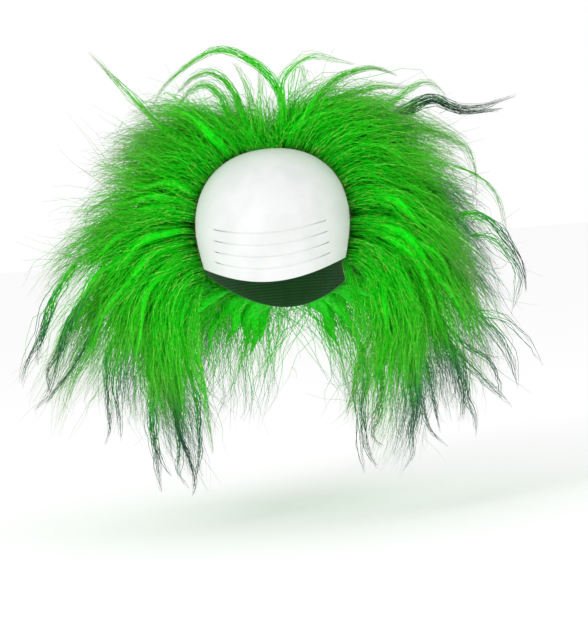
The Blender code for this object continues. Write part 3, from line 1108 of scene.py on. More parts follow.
@dataclass
class Grower:
    """Grows hairs on the cap from locks."""

    form: HeadForm
    rng: np.random.Generator
    root_offset: float = 0.0011
    core_setback: float = 0.005
    ends: FrizzEnds = field(default_factory=FrizzEnds)
    spread: HairSpread = field(default_factory=HairSpread)
    lock_wave: LockWave = field(default_factory=LockWave)

    def grow(self, locks: Locks, per_lock: int, band: Span, comb: Comb) -> list[Strands]:
        """Grows locks, each with a core, hairs over it and short stray ends.

        Args:
            locks: The locks.
            per_lock: Hairs in each lock.
            band: Lowest and highest y where z is 0 that a root may have.
            comb: How the hairs lie.

        Returns:
            Cores, hairs and stray ends.
        """
        wave = self.rng.uniform(size=(locks.count, 4))
        hairs = self.hairs(locks, wave, per_lock, band, comb)
        ends = self.frizz(hairs, int(hairs.count * comb.frizz))
        return [self.cores(locks, wave, band[0] + self.core_setback, comb), hairs, ends]

    @staticmethod
    def bend(root: Array, leave: Array, arrive: Array, tip: Array, at: Array) -> Array:
        """Runs a smooth bend from each root to each tip.

        Args:
            root: Where each hair starts.
            leave: Where it is drawn to as it leaves.
            arrive: Where it is drawn to as it comes in.
            tip: Where it ends.
            at: Share of the bend at each station.

        Returns:
            Points as an array of hair, station and x, y, z.
        """
        at = at[:, :, None]
        return (
            root[:, None] * (1 - at) ** 3
            + leave[:, None] * 3 * (1 - at) ** 2 * at
            + arrive[:, None] * 3 * (1 - at) * at**2
            + tip[:, None] * at**3
        )

    def hairs(self, locks: Locks, wave: Array, per_lock: int, band: Span, comb: Comb) -> Strands:
        """Grows the hairs of some locks.

        Args:
            locks: The locks.
            wave: Four numbers for each lock's wave.
            per_lock: Hairs in each lock.
            band: Lowest and highest y where z is 0 that a root may have.
            comb: How the hairs lie.

        Returns:
            The hairs.
        """
        rng, spread = self.rng, self.spread
        owner = np.repeat(np.arange(locks.count), per_lock)
        count = len(owner)
        loose = np.where(rng.random(count) < comb.stray, comb.stray_spread, 1.0)
        bearing = locks.bearing[owner] + rng.normal(0, comb.root_degrees, count)
        plane = np.clip(locks.y_at_zero[owner] + rng.normal(0, comb.root_depth, count), *band)
        root = self.form.roots(bearing, plane, locks.slope[owner], self.root_offset)
        scatter = rng.normal(size=(count, 3)) * loose[:, None]
        tip = locks.tip[owner] + scatter * comb.tip
        chord = tip - root
        length = np.linalg.norm(chord, axis=1, keepdims=True)
        lift = locks.lift[owner, None] * rng.uniform(*spread.lift, (count, 1))
        leave = root + self.form.outward(root) * lift * length
        bow = locks.bow[owner] * length * rng.uniform(*spread.bow, (count, 1))
        arrive = root + chord * locks.arrive[owner, None] + bow + scatter * comb.middle
        shortest, longest = spread.end
        end = np.clip(longest - np.abs(rng.normal(0, spread.end_spread, count)), shortest, longest)
        at = end[:, None] * np.linspace(0, 1, comb.stations)[None, :]
        curve = self.bend(root, leave, arrive, tip, at)
        curve += self.waves(wave[owner], chord, at, comb, 0.5)
        settle = np.clip(at / spread.settle, 0, 1)[:, :, None]
        curve += rng.normal(0, comb.kink, curve.shape) * settle * loose[:, None, None]
        width = comb.width * rng.uniform(*spread.width, count)
        thinned = 1 - np.linspace(0, 1, comb.stations) ** spread.taper
        profile = spread.blunt + (1 - spread.blunt) * thinned
        shade = rng.normal(spread.shade, spread.shade_spread, count)
        shade = shade + spread.lock_shade * (rng.random(locks.count)[owner] - 0.5)
        return Strands(
            curve,
            width[:, None] / 2 * profile,
            np.zeros(count),
            end,
            np.clip(shade, 0, 1),
            locks.soot[owner] * rng.uniform(*spread.soot, count),
        )

    def cores(self, locks: Locks, wave: Array, nearest: float, comb: Comb) -> Strands:
        """Fills the inside of each lock that isn't rooted at the hairline.

        Args:
            locks: The locks.
            wave: Four numbers for each lock's wave.
            nearest: The lowest y where z is 0 that a core's root may have.
            comb: How the hairs lie.

        Returns:
            The cores.
        """
        rng, spread = self.rng, self.spread
        root = self.form.roots(locks.bearing, locks.y_at_zero, locks.slope, self.root_offset)
        chord = locks.tip - root
        length = np.linalg.norm(chord, axis=1, keepdims=True)
        leave = root + self.form.outward(root) * locks.lift[:, None] * length
        arrive = root + chord * locks.arrive[:, None] + locks.bow * length
        end = comb.core_end * rng.uniform(*spread.core_end, locks.count)
        share = np.linspace(0, 1, comb.core_stations)
        at = end[:, None] * share[None, :]
        curve = self.bend(root, leave, arrive, locks.tip, at)
        curve += self.waves(wave, chord, at, comb, 0.0)
        profile = (0.34 + 0.66 * np.clip(share / 0.35, 0, 1) ** 0.8) * (1 - share**1.8) + 0.03
        radius = comb.core * rng.uniform(*spread.core_width, (locks.count, 1)) * profile
        shade = rng.uniform(*spread.core_shade, locks.count)
        soot = locks.soot * spread.core_soot
        cores = Strands(curve, radius, np.zeros(locks.count), end, shade, soot, sides=8)
        return cores.only(locks.y_at_zero > nearest)

    def frizz(self, hairs: Strands, count: int) -> Strands:
        """Lets short curled ends stand off the outer part of some hairs.

        Args:
            hairs: The hairs.
            count: How many ends.

        Returns:
            The ends.
        """
        rng, ends = self.rng, self.ends
        parent = rng.integers(0, hairs.count, count)
        last = hairs.points.shape[1] - 1
        share = rng.uniform(*ends.place, count)
        low = np.floor(share * last).astype(int)
        part = (share * last - low)[:, None]
        here, there = hairs.points[parent, low], hairs.points[parent, low + 1]
        root = here * (1 - part) + there * part
        aim = unit(unit(there - here) * ends.ahead + rng.normal(0, ends.turned, (count, 3)))
        curl = rng.normal(0, ends.curl, (count, 3))
        length = rng.uniform(*ends.length, (count, 1))
        run = np.linspace(0, 1, ends.stations)
        at = run[None, :, None]
        curve = root[:, None] + (aim * length)[:, None] * at + (curl * length)[:, None] * at**2
        curve += rng.normal(0, ends.shake, curve.shape) * at
        radius = rng.uniform(*ends.radius, (count, 1)) * (1 - 0.75 * run)
        start = hairs.reach[parent] * share
        reach = start + length[:, 0] / ends.colour_run
        shade = np.clip(hairs.shade[parent] + rng.normal(0, 0.15, count), 0, 1)
        return Strands(curve, radius, start, reach, shade, hairs.soot[parent])

    def waves(self, wave: Array, chord: Array, at: Array, comb: Comb, loose: float) -> Array:
        """Gives the wave that the hairs of each lock share.

        Args:
            wave: Four numbers from 0 to 1 for each hair: size, pitch and two phases.
            chord: From each hair's root to its tip.
            at: Share of the lock at each station.
            comb: How the hairs lie.
            loose: How far the hairs of a lock are out of step.

        Returns:
            An offset for each station.
        """
        ahead = unit(chord)
        side = unit(np.cross(ahead, (0.0, 1.0, 0.1)))
        over = np.cross(ahead, side)
        (size, larger), (pitch, longer) = self.lock_wave.size, self.lock_wave.pitch
        grown = np.clip(at / self.lock_wave.grows, 0, 1)
        swing = grown * (size + larger * wave[:, :1]) * comb.wave
        turns = np.linalg.norm(chord, axis=1)[:, None] / (pitch + longer * wave[:, 1:2])
        step = loose * np.sin(np.arange(len(chord)) * self.lock_wave.step)[:, None]
        sway = swing * np.sin(2 * math.pi * (turns * at + wave[:, 2:3]) + step)
        bob = swing * np.sin(2 * math.pi * (turns * self.lock_wave.bob * at + wave[:, 3:4]) - step)
        return sway[:, :, None] * side[:, None, :] + bob[:, :, None] * over[:, None, :]


@dataclass(frozen=True)
class FrontLock:
    """A main lock of the front weft, with the columns of its row in FRONT_LOCKS."""

    root_bearing: float
    tip_bearing: float
    reach: float
    forward: float
    bow: float


# root_bearing, tip_bearing, reach, forward, bow. Bearings are degrees clockwise from
# straight up, reach a share of 0.280 m, forward of 0.060 m and bow of the lock's length
FRONT_LOCKS = [
    FrontLock(-119, -161, 0.78, 0.95, 0.08),
    FrontLock(-116, -158, 0.84, 0.97, 0.10),
    FrontLock(-112, -153, 0.89, 0.93, 0.22),
    FrontLock(-107, -147, 0.85, 0.90, 0.22),
    FrontLock(-103, -139, 0.84, 0.63, 0.16),
    FrontLock(-99, -136, 0.91, 0.60, 0.14),
    FrontLock(-95, -125, 0.80, 0.55, 0.12),
    FrontLock(-91, -125, 1.03, 0.37, 0.16),
    FrontLock(-87, -117, 1.01, 0.27, 0.16),
    FrontLock(-82, -101, 0.84, 0.40, 0.10),
    FrontLock(-77, -94, 0.79, 0.27, 0.12),
    FrontLock(-71, -86, 0.71, 0.37, 0.10),
    FrontLock(-65, -79, 0.64, 0.23, 0.14),
    FrontLock(-59, -70, 0.70, 0.33, 0.10),
    FrontLock(-51, -61, 0.71, 0.23, 0.12),
    FrontLock(-33, -54, 0.64, 0.13, 0.34),
    FrontLock(-24, -45, 0.60, 0.13, 0.42),
    FrontLock(-12, -34, 0.54, 0.10, 0.42),
    FrontLock(-3, -16, 0.46, 0.10, 0.30),
    FrontLock(4, 12, 0.45, 0.10, 0.30),
    FrontLock(12, 42, 0.56, 0.12, 0.36),
    FrontLock(22, 60, 0.67, 0.20, 0.34),
    FrontLock(36, 73, 0.69, 0.17, 0.24),
    FrontLock(44, 85, 0.66, 0.37, 0.26),
    FrontLock(52, 88, 0.74, 0.23, 0.12),
    FrontLock(59, 97, 0.76, 0.33, 0.14),
    FrontLock(73, 111, 0.77, 0.43, 0.16),
    FrontLock(86, 128, 0.95, 0.40, 0.16),
    FrontLock(91, 132, 0.97, 0.50, 0.16),
    FrontLock(96, 140, 0.91, 0.63, 0.14),
    FrontLock(101, 146, 0.89, 0.77, 0.14),
    FrontLock(106, 154, 0.86, 0.90, 0.16),
    FrontLock(110, 159, 0.85, 1.00, 0.18),
    FrontLock(114, 162, 0.81, 1.00, 0.16),
    FrontLock(118, 164, 0.70, 0.95, 0.12),
]

# Tip bearing and how far the inner wefts reach there, as a share of 0.280 m
OUTLINE = [
    (-165, 0.80),
    (-125, 0.94),
    (-90, 0.76),
    (-60, 0.68),
    (-30, 0.55),
    (0, 0.44),
    (30, 0.52),
    (60, 0.68),
    (90, 0.70),
    (125, 0.90),
    (165, 0.80),
]


@dataclass(frozen=True)
class BackRow:
    """A row of locks on the back of the cap: the y of its roots, the bearing of its
    middle and how far it goes to each side, the locks' length as a share, how far
    they spread sideways and how steeply they fall."""

    root_y: float
    middle: float
    spread_degrees: float
    length: float
    spread: float
    fall: float


CROWN_ROWS = [
    BackRow(0.068, 0, 94, 1.00, 1.40, 0.50),
    BackRow(0.088, 0, 84, 1.06, 1.20, 0.52),
    BackRow(0.101, 0, 70, 1.08, 1.00, 0.55),
]

NAPE_ROWS = [
    BackRow(0.068, 180, 76, 0.96, 1.00, 1.05),
    BackRow(0.089, 180, 74, 1.04, 1.00, 0.92),
    BackRow(0.101, 180, 70, 1.04, 1.10, 0.80),
]

# Tip bearing and the share of locks there whose tips are dipped in soot
SOOTY = [
    (-180, 0.50),
    (-150, 0.50),
    (-125, 0.45),
    (-105, 0.35),
    (-92, 0.20),
    (-75, 0.05),
    (-40, 0.0),
    (40, 0.0),
    (58, 0.10),
    (66, 0.35),
    (76, 0.10),
    (90, 0.15),
    (105, 0.35),
    (140, 0.50),
    (180, 0.50),
]


@dataclass(frozen=True)
class Flyaway:
    """A thin loose wisp that stands clear of the locks: its y in millimetres, how many
    hairs it has, how sooty its tip is and the photograph's pixels that it passes."""

    y: float
    hairs: int
    soot: float
    pixels: tuple[tuple[int, int], ...]


FLYAWAYS = [
    Flyaway(-30, 26, 0.1, ((208, 185), (186, 150), (150, 115), (118, 82), (90, 52))),
    Flyaway(
        -12,
        30,
        0.0,
        (
            (279, 152), (283, 130), (283, 101), (276, 82), (258, 64),
            (237, 53), (216, 49), (184, 68), (159, 91), (151, 112),
        ),
    ),
    Flyaway(-6, 30, 0.0, ((250, 152), (240, 108), (226, 82), (208, 71), (188, 79), (172, 98))),
    Flyaway(-4, 30, 0.0, ((240, 154), (228, 110), (218, 92), (205, 84), (190, 91), (176, 108))),
    Flyaway(-8, 12, 0.0, ((264, 152), (262, 126), (262, 84), (258, 66))),
    Flyaway(-6, 16, 0.0, ((257, 152), (253, 116), (246, 84), (230, 59))),
    Flyaway(-10, 18, 0.0, ((284, 152), (284, 126), (284, 84), (296, 66), (312, 57), (344, 63), (358, 67))),
    Flyaway(-6, 9, 0.0, ((290, 152), (291, 105), (300, 66), (306, 76), (303, 96), (319, 84))),
    Flyaway(-8, 36, 0.0, ((298, 155), (301, 119), (316, 96), (337, 76), (360, 68), (378, 67), (398, 75))),
    Flyaway(-4, 34, 0.0, ((304, 157), (312, 128), (330, 104), (352, 92), (380, 86), (412, 88))),
    Flyaway(0, 22, 0.1, ((330, 172), (372, 120), (405, 92), (429, 81), (448, 98))),
    Flyaway(-6, 30, 1.0, ((332, 172), (385, 122), (430, 96), (457, 108), (490, 104), (517, 93))),
    Flyaway(-2, 20, 1.0, ((334, 174), (390, 124), (432, 100), (462, 112), (504, 108))),
    Flyaway(-6, 24, 0.2, ((338, 182), (400, 130), (454, 139), (472, 160), (475, 200))),
    Flyaway(0, 14, 0.2, ((344, 205), (430, 165), (480, 178), (499, 200), (508, 240))),
    Flyaway(-6, 10, 0.2, ((195, 215), (140, 195), (98, 205), (84, 222), (92, 230))),
    Flyaway(-4, 9, 1.0, ((196, 235), (130, 222), (90, 228), (63, 234))),
    Flyaway(-50, 22, 0.0, ((345, 258), (356, 300), (360, 350), (354, 390), (345, 417))),
    Flyaway(-50, 22, 0.1, ((203, 272), (196, 330), (206, 390), (215, 455))),
    Flyaway(-35, 16, 1.0, ((75, 265), (58, 290), (46, 315), (39, 338), (24, 368), (20, 388))),
    Flyaway(-35, 9, 1.0, ((55, 300), (39, 338), (35, 357), (33, 372))),
    Flyaway(-38, 16, 1.0, ((105, 270), (88, 295), (73, 319), (58, 353), (46, 372), (50, 397))),
    Flyaway(-38, 14, 1.0, ((95, 285), (78, 312), (67, 334), (60, 363), (48, 397), (33, 411))),
    Flyaway(-40, 12, 1.0, ((120, 285), (105, 310), (90, 334), (73, 365), (56, 388), (41, 409))),
    Flyaway(-42, 14, 1.0, ((118, 330), (108, 355), (106, 382), (108, 410), (108, 430), (103, 447))),
    Flyaway(-42, 8, 1.0, ((128, 340), (119, 365), (117, 391), (121, 420), (122, 441))),
    Flyaway(-50, 16, 1.0, ((158, 370), (152, 400), (152, 430), (155, 449), (157, 468), (161, 493))),
    Flyaway(-50, 9, 1.0, ((160, 385), (153, 420), (158, 452), (170, 481))),
    Flyaway(-50, 16, 1.0, ((176, 370), (174, 405), (179, 435), (188, 458), (195, 483), (191, 499))),
    Flyaway(-50, 12, 1.0, ((182, 385), (180, 420), (181, 449), (179, 472), (191, 489))),
    Flyaway(-52, 12, 1.0, ((190, 370), (196, 405), (199, 435), (199, 458), (193, 489))),
    Flyaway(-20, 14, 1.0, ((462, 215), (480, 215), (497, 227), (512, 246), (524, 269), (527, 293))),
    Flyaway(-20, 10, 1.0, ((470, 235), (488, 236), (505, 250), (518, 273), (515, 296), (510, 318))),
    Flyaway(-22, 5, 1.0, ((455, 310), (475, 311), (493, 315), (508, 319), (528, 338), (544, 367))),
    Flyaway(-28, 12, 1.0, ((458, 300), (477, 315), (493, 332), (505, 347), (514, 368), (518, 390))),
    Flyaway(-28, 7, 1.0, ((440, 320), (456, 334), (470, 347), (489, 357), (499, 382), (500, 402))),
    Flyaway(-30, 14, 1.0, ((430, 330), (452, 348), (472, 368), (485, 382), (503, 397), (513, 408))),
    Flyaway(-38, 14, 1.0, ((442, 330), (455, 354), (464, 378), (466, 401), (474, 416), (476, 438))),
    Flyaway(-38, 8, 1.0, ((450, 350), (464, 380), (466, 401), (460, 425))),
    Flyaway(-42, 12, 1.0, ((415, 340), (426, 367), (432, 393), (436, 416), (441, 437))),
    Flyaway(-42, 12, 1.0, ((400, 340), (412, 370), (420, 399), (430, 430), (448, 448))),
    Flyaway(-46, 15, 1.0, ((405, 350), (414, 380), (417, 410), (411, 430), (413, 453), (404, 469))),
    Flyaway(-48, 14, 1.0, ((375, 345), (381, 376), (380, 407), (372, 437), (384, 450))),
    Flyaway(-50, 13, 1.0, ((362, 345), (365, 372), (364, 399), (364, 433), (370, 454), (381, 469))),
    Flyaway(-50, 5, 1.0, ((356, 365), (355, 390), (356, 410), (359, 449), (365, 478))),
]


@dataclass(frozen=True)
class Weft:
    """A weft behind the front one: its name, the y where z is 0 and the slope of the
    planes that its roots and its tips lie on, the y that roots keep to, and its reach
    as a share of the outline."""

    name: str
    root: Span
    tip: Span
    band: Span
    share: float


INNER_WEFTS = [
    Weft("hair_second", root=(0.024, 0.11), tip=(0.018, 0.10), band=(0.008, 0.042), share=0.95),
    Weft("hair_third", root=(0.051, 0.04), tip=(0.050, 0.05), band=(0.036, 0.068), share=0.88),
]

# Each piece of the front weft, with the bearings that it covers
FRONT_PIECES = [
    ("hair_front_right", -180, -42),
    ("hair_front_top", -42, 42),
    ("hair_front_left", 42, 180),
]


@dataclass(frozen=True)
class FrontSpread:
    """Where chance takes the locks of the front weft and the clumps that they are
    drawn to. The parting is its bearing, its width in degrees and how much shorter
    the locks are there."""

    root_degrees: float = 0.6
    tip_degrees: float = 2.0
    per_clump: int = 4
    clump_degrees: float = 1.2
    choice_degrees: float = 2.5
    pull: Span = (0.55, 0.95)
    clump_length: Span = (0.86, 1.05)
    length: Span = (0.93, 1.0)
    setback: Span = (0.0005, 0.034)
    parting: tuple[float, float, float] = (-2, 8, 0.24)
    clump_y: float = 0.009
    own_y: float = 0.004
    follows: float = 0.5
    bow: float = 0.035
    lift: Span = (0.26, 0.38)
    arrive: float = 0.62


@dataclass(frozen=True)
class InnerSpread:
    """Where chance takes the locks of the wefts behind the front one. Their tips fan
    out further than their roots, and they bow most over the top."""

    root_degrees: float = 1.0
    fan: float = 1.30
    tip_degrees: float = 4.0
    length: Span = (0.86, 1.05)
    tip_y: float = 0.010
    root_y: float = 0.005
    bow: float = 0.16
    top_bow: float = 0.22
    bow_spread: float = 0.05
    lift: Span = (0.28, 0.40)
    arrive: float = 0.62


@dataclass(frozen=True)
class BackSpread:
    """Where chance takes the locks of the crown and the nape, and the share of them
    that are sooty above and below a height."""

    packing: float = 1.3
    length: Span = (0.86, 1.06)
    bow: float = 0.12
    lift: Span = (0.32, 0.40)
    low: float = -0.12
    sooty_low: float = 0.6
    sooty_high: float = 0.1
    arrive: float = 0.66


@dataclass(frozen=True)
class WispSpread:
    """Where chance takes a loose wisp and its hairs, in metres and shares, and how
    many radians its hairs curl."""

    stations: int = 16
    end_spread: float = 0.12
    shortest: float = 0.6
    belly: float = 0.016
    drift: Span = (-0.012, 0.022)
    apart: float = 0.0024
    kink: float = 0.0006
    curls: Span = (9, 16)
    curl: float = 0.0011
    radius: Span = (0.00024, 0.00044)
    soot_radius: float = 0.25
    colour_start: Span = (0.25, 0.43)
    shade: Span = (0.2, 0.9)


@dataclass
class HairWork:
    """All the hair of the wig, weft by weft. Hairs that leave the room are dropped."""

    form: HeadForm
    view: View
    grower: Grower
    rng: np.random.Generator
    reach: float = 0.280
    forward: float = 0.060
    crown_length: float = 0.160
    nape_length: float = 0.185
    front_span: Span = (-119, 118)
    front_band: Span = (0.0006, 0.014)
    front_count: int = 204
    front_hairs: int = 27
    inner_span: Span = (-123, 123)
    inner_count: int = 64
    inner_hairs: int = 21
    back_band: Span = (0.064, 0.102)
    back_hairs: int = 26
    crown_count: int = 78
    nape_count: int = 56
    clean: float = 0.12
    room: tuple[tuple[float, float, float], tuple[float, float, float]] = (
        (-0.270, -0.118, -0.314),
        (0.250, 0.278, 0.121),
    )
    comb: Comb = field(default_factory=Comb)
    at_front: FrontSpread = field(default_factory=FrontSpread)
    inside: InnerSpread = field(default_factory=InnerSpread)
    at_back: BackSpread = field(default_factory=BackSpread)
    in_wisps: WispSpread = field(default_factory=WispSpread)

    def tips(self, bearing: Array, reach: Array, y: Array) -> Array:
        """Gives points at some bearings and reaches from the bald front's middle.

        Args:
            bearing: Degrees clockwise from straight up, seen from the front.
            reach: Shares of the longest reach.
            y: The points' y in metres.

        Returns:
            The points as rows.
        """
        turn = np.radians(bearing)
        height = self.form.middle + self.reach * reach * np.cos(turn)
        return np.stack((self.reach * reach * np.sin(turn), y, height), axis=1)

    def bows(self, bearing: Array, tip: Array, bow: Array, slope: Array, plane: Array) -> Array:
        """Gives the sideways bow of locks in the frontal plane, always upwards.

        Args:
            bearing: Root bearings.
            tip: Tips as rows.
            bow: Bow as a share of the lock's length.
            slope: Slope of the root planes.
            plane: y of the root planes where z is 0.

        Returns:
            The bow as rows, still as a share of the length.
        """
        root = self.form.roots(bearing, plane, slope, 0.0)
        chord = tip - root
        side = unit(np.stack((-chord[:, 2], np.zeros(len(chord)), chord[:, 0]), axis=1))
        outwards = np.where(root[:, 0] > 0, 0.3, -0.3)
        side = np.where((side[:, 2] + outwards * side[:, 0] < 0)[:, None], -side, side)
        return side * bow[:, None]

    def sooty(self, tip_bearing: Array) -> Array:
        """Picks which locks have sooty tips, by where they point.

        Args:
            tip_bearing: The bearing of each tip.

        Returns:
            How sooty each tip is, from 0 to 1.
        """
        table = np.array(SOOTY)
        chance = np.interp(tip_bearing, table[:, 0], table[:, 1])
        return np.where(self.rng.random(len(tip_bearing)) < chance, 1.0, self.clean)

    def front_locks(self) -> Locks:
        """Spreads locks between the rows of the table, drawn together in clumps.

        Returns:
            The locks.
        """
        rng, count, rows, key = self.rng, self.front_count, FRONT_LOCKS, "root_bearing"
        spread = self.at_front
        bearing = np.linspace(*self.front_span, count) + rng.normal(0, spread.root_degrees, count)
        clumps = count // spread.per_clump
        middle = np.linspace(*self.front_span, clumps) + rng.normal(0, spread.clump_degrees, clumps)
        seen = bearing[:, None] + rng.normal(0, spread.choice_degrees, (count, 1))
        nearest = np.abs(seen - middle[None, :]).argmin(axis=1)
        pull = rng.uniform(*spread.pull, count)
        towards = column(rows, "tip_bearing", key, middle)[nearest]
        own = column(rows, "tip_bearing", key, bearing) + rng.normal(0, spread.tip_degrees, count)
        aim = own + pull * (towards - own)
        longer = rng.uniform(*spread.clump_length, clumps)[nearest]
        plane = self.form.hairline_setback + rng.uniform(*spread.setback, count)
        slope = np.full(count, self.form.hairline_lean)
        parted, width, shorter = spread.parting
        parting = 1 - shorter * np.exp(-(((bearing - parted) / width) ** 2))
        whole = column(rows, "reach", key, bearing) * longer * parting
        reach = whole * rng.uniform(*spread.length, count)
        ahead = -self.forward * column(rows, "forward", key, bearing)
        y = ahead + rng.normal(0, spread.clump_y, clumps)[nearest]
        y += rng.normal(0, spread.own_y, count) + spread.follows * (plane - self.form.hairline_setback)
        tip = self.tips(aim, reach, y)
        bow = column(rows, "bow", key, bearing) + rng.normal(0, spread.bow, clumps)[nearest]
        soot = self.sooty(column(rows, "tip_bearing", key, middle))[nearest]
        lift = rng.uniform(*spread.lift, count)
        bows = self.bows(bearing, tip, bow, slope, plane)
        return Locks(bearing, plane, slope, tip, lift, bows, np.full(count, spread.arrive), soot)

    def inner_locks(self, weft: Weft) -> Locks:
        """Spreads the locks of a weft behind the front one.

        Args:
            weft: The weft.

        Returns:
            The locks.
        """
        rng, count, spread = self.rng, self.inner_count, self.inside
        bearing = np.linspace(*self.inner_span, count) + rng.normal(0, spread.root_degrees, count)
        aim = bearing * spread.fan + rng.normal(0, spread.tip_degrees, count)
        table = np.array(OUTLINE)
        whole = np.interp(aim, table[:, 0], table[:, 1]) * weft.share
        points = self.tips(aim, whole * rng.uniform(*spread.length, count), np.zeros(count))
        points[:, 1] = weft.tip[0] + weft.tip[1] * points[:, 2] + rng.normal(0, spread.tip_y, count)
        plane = np.full(count, weft.root[0]) + rng.normal(0, spread.root_y, count)
        slope = np.full(count, weft.root[1])
        over = np.cos(np.radians(bearing)) ** 2
        bow = spread.bow + spread.top_bow * over + rng.normal(0, spread.bow_spread, count)
        lift = rng.uniform(*spread.lift, count)
        bows = self.bows(bearing, points, bow, slope, plane)
        arrive = np.full(count, spread.arrive)
        return Locks(bearing, plane, slope, points, lift, bows, arrive, self.sooty(aim))

    def back_locks(self, count: int, rows: list[BackRow], length: float) -> Locks:
        """Spreads locks between the rows of the crown or the nape.

        Args:
            count: How many locks.
            rows: The rows from the side of the head to the back.
            length: How long the locks of a whole row are.

        Returns:
            The locks.
        """
        rng, chance = self.rng, self.at_back
        share = np.sqrt(rng.random(count)) ** chance.packing
        plane = rows[0].root_y + (rows[-1].root_y - rows[0].root_y) * share
        turned, longer, spread, fall = (
            column(rows, name, "root_y", plane) for name in ("spread_degrees", "length", "spread", "fall")
        )
        bearing = rows[0].middle + rng.uniform(-1, 1, count) * turned
        root = self.form.roots(bearing, plane, np.zeros(count), 0.0)
        normal = self.form.outward(root)
        aim = np.stack((normal[:, 0] * spread, normal[:, 1], normal[:, 2] - fall), axis=1)
        reach = length * longer * rng.uniform(*chance.length, count)
        tip = root + unit(aim) * reach[:, None]
        bow = np.zeros((count, 3))
        bow[:, 2] = chance.bow
        lift = rng.uniform(*chance.lift, count)
        sooty = np.where(tip[:, 2] < chance.low, chance.sooty_low, chance.sooty_high)
        soot = np.where(rng.random(count) < sooty, 1.0, self.clean)
        arrive = np.full(count, chance.arrive)
        return Locks(bearing, plane, np.zeros(count), tip, lift, bow, arrive, soot)

    def wisp(self, flyaway: Flyaway) -> Strands:
        """Lays one loose wisp along its smoothed path.

        Args:
            flyaway: The wisp.

        Returns:
            The hairs.
        """
        rng, count, spread = self.rng, flyaway.hairs, self.in_wisps
        depth = flyaway.y / 1000
        path = [self.view.place(pixel, depth) for pixel in flyaway.pixels]
        smooth = self.smooth_path(np.array(path), spread.stations)
        end = np.clip(1.0 - np.abs(rng.normal(0, spread.end_spread, count)), spread.shortest, 1.0)
        known = np.linspace(0, 1, spread.stations)
        at = end[:, None] * known[None, :]
        x, z = np.interp(at, known, smooth[:, 0]), np.interp(at, known, smooth[:, 1])
        y = depth + rng.uniform(-spread.belly, spread.belly) * np.sin(np.pi * at)
        y += rng.uniform(*spread.drift) * at
        curve = np.stack((x, y, z), axis=2)
        body = np.sin(np.pi * (0.15 + 0.8 * at))[:, :, None]
        curve += rng.normal(0, spread.apart, (count, 1, 3)) * body + rng.normal(0, spread.kink, curve.shape)
        turn = rng.uniform(0, 2 * math.pi, (count, 1)) + rng.uniform(*spread.curls, (count, 1)) * at
        curve += np.stack((np.cos(turn), np.sin(1.3 * turn), np.sin(turn)), axis=2) * spread.curl * body
        thicker = 1 + spread.soot_radius * flyaway.soot
        radius = rng.uniform(*spread.radius, (count, 1)) * thicker * (1 - 0.8 * known**2)
        start = np.full(count, spread.colour_start[0] + spread.colour_start[1] * flyaway.soot)
        shade = rng.uniform(*spread.shade, count)
        return Strands(curve, radius, start, end, shade, np.full(count, flyaway.soot))

    def flyaways(self) -> Strands:
        """Lays all the loose wisps.

        Returns:
            The hairs of all wisps.
        """
        parts = [self.wisp(flyaway) for flyaway in FLYAWAYS]
        names = ("points", "radius", "start", "reach", "shade", "soot")
        return Strands(*(np.concatenate([getattr(part, name) for part in parts]) for name in names))

    @staticmethod
    def smooth_path(path: Array, stations: int) -> Array:
        """Runs a smooth curve through a path's points.

        Args:
            path: Points as rows of x and z.
            stations: How many points to give back.

        Returns:
            The smoothed points, evenly far apart along the curve.
        """
        padded = np.vstack((2 * path[0] - path[1], path, 2 * path[-1] - path[-2]))
        steps = np.linspace(0, len(path) - 1 - TINY, 8 * stations)
        index = steps.astype(int)
        part = (steps - index)[:, None]
        before, here, there, after = (padded[index + shift] for shift in range(4))
        fine = 0.5 * (
            2 * here
            + (there - before) * part
            + (2 * before - 5 * here + 4 * there - after) * part**2
            + (3 * here - before - 3 * there + after) * part**3
        )
        run = np.concatenate(([0.0], np.cumsum(np.linalg.norm(np.diff(fine, axis=0), axis=1))))
        even = np.linspace(0, run[-1], stations)
        return np.stack((np.interp(even, run, fine[:, 0]), np.interp(even, run, fine[:, 1])), axis=1)

    def build(self, material: bpy.types.Material) -> None:
        """Makes all the hair and lets it stand for the wefts.

        Args:
            material: The hair's material.
        """
        line = self.form.hairline_setback
        band = (line + self.front_band[0], self.front_band[1])
        front = self.grower.grow(self.front_locks(), self.front_hairs, band, self.comb)
        for name, low, high in FRONT_PIECES:
            chosen = []
            for bundle in front:
                root = bundle.points[:, 0]
                across = np.degrees(np.arctan2(root[:, 0], root[:, 2] - self.form.middle))
                chosen.append(bundle.only((across >= low) & (across < high)))
            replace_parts(self.piece(name, chosen, material), "hair_front_weft")
        self.piece("hair_flyaways", [self.flyaways()], material)
        inner = replace(self.comb, stations=9, core=0.0070, frizz=0.2, width=0.00080)
        for weft in INNER_WEFTS:
            hair = self.grower.grow(self.inner_locks(weft), self.inner_hairs, weft.band, inner)
            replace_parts(self.piece(weft.name, hair, material), weft.name + "_weft")
        back = replace(inner, core_end=0.62, middle=0.0105, tip=0.0065, root_degrees=6.0)
        regions = (
            ("hair_crown", CROWN_ROWS, self.crown_length, self.crown_count),
            ("hair_nape", NAPE_ROWS, self.nape_length, self.nape_count),
        )
        for name, rows, length, count in regions:
            locks = self.back_locks(count, rows, length)
            hair = self.grower.grow(locks, self.back_hairs, self.back_band, back)
            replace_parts(self.piece(name, hair, material), name + "_weft")

    def piece(self, name: str, bundles: list[Strands], material: bpy.types.Material) -> bpy.types.Object:
        """Makes one piece of the hairs that stay within the wig's room.

        Args:
            name: The piece's name.
            bundles: The hairs.
            material: The hair's material.

        Returns:
            The piece.
        """
        low, high = np.array(self.room)
        kept = [hair.only(((hair.points > low) & (hair.points < high)).all(axis=(1, 2))) for hair in bundles]
        return new_piece(name, StrandMesh(name, kept, self.rng).build(), material)


# Stage


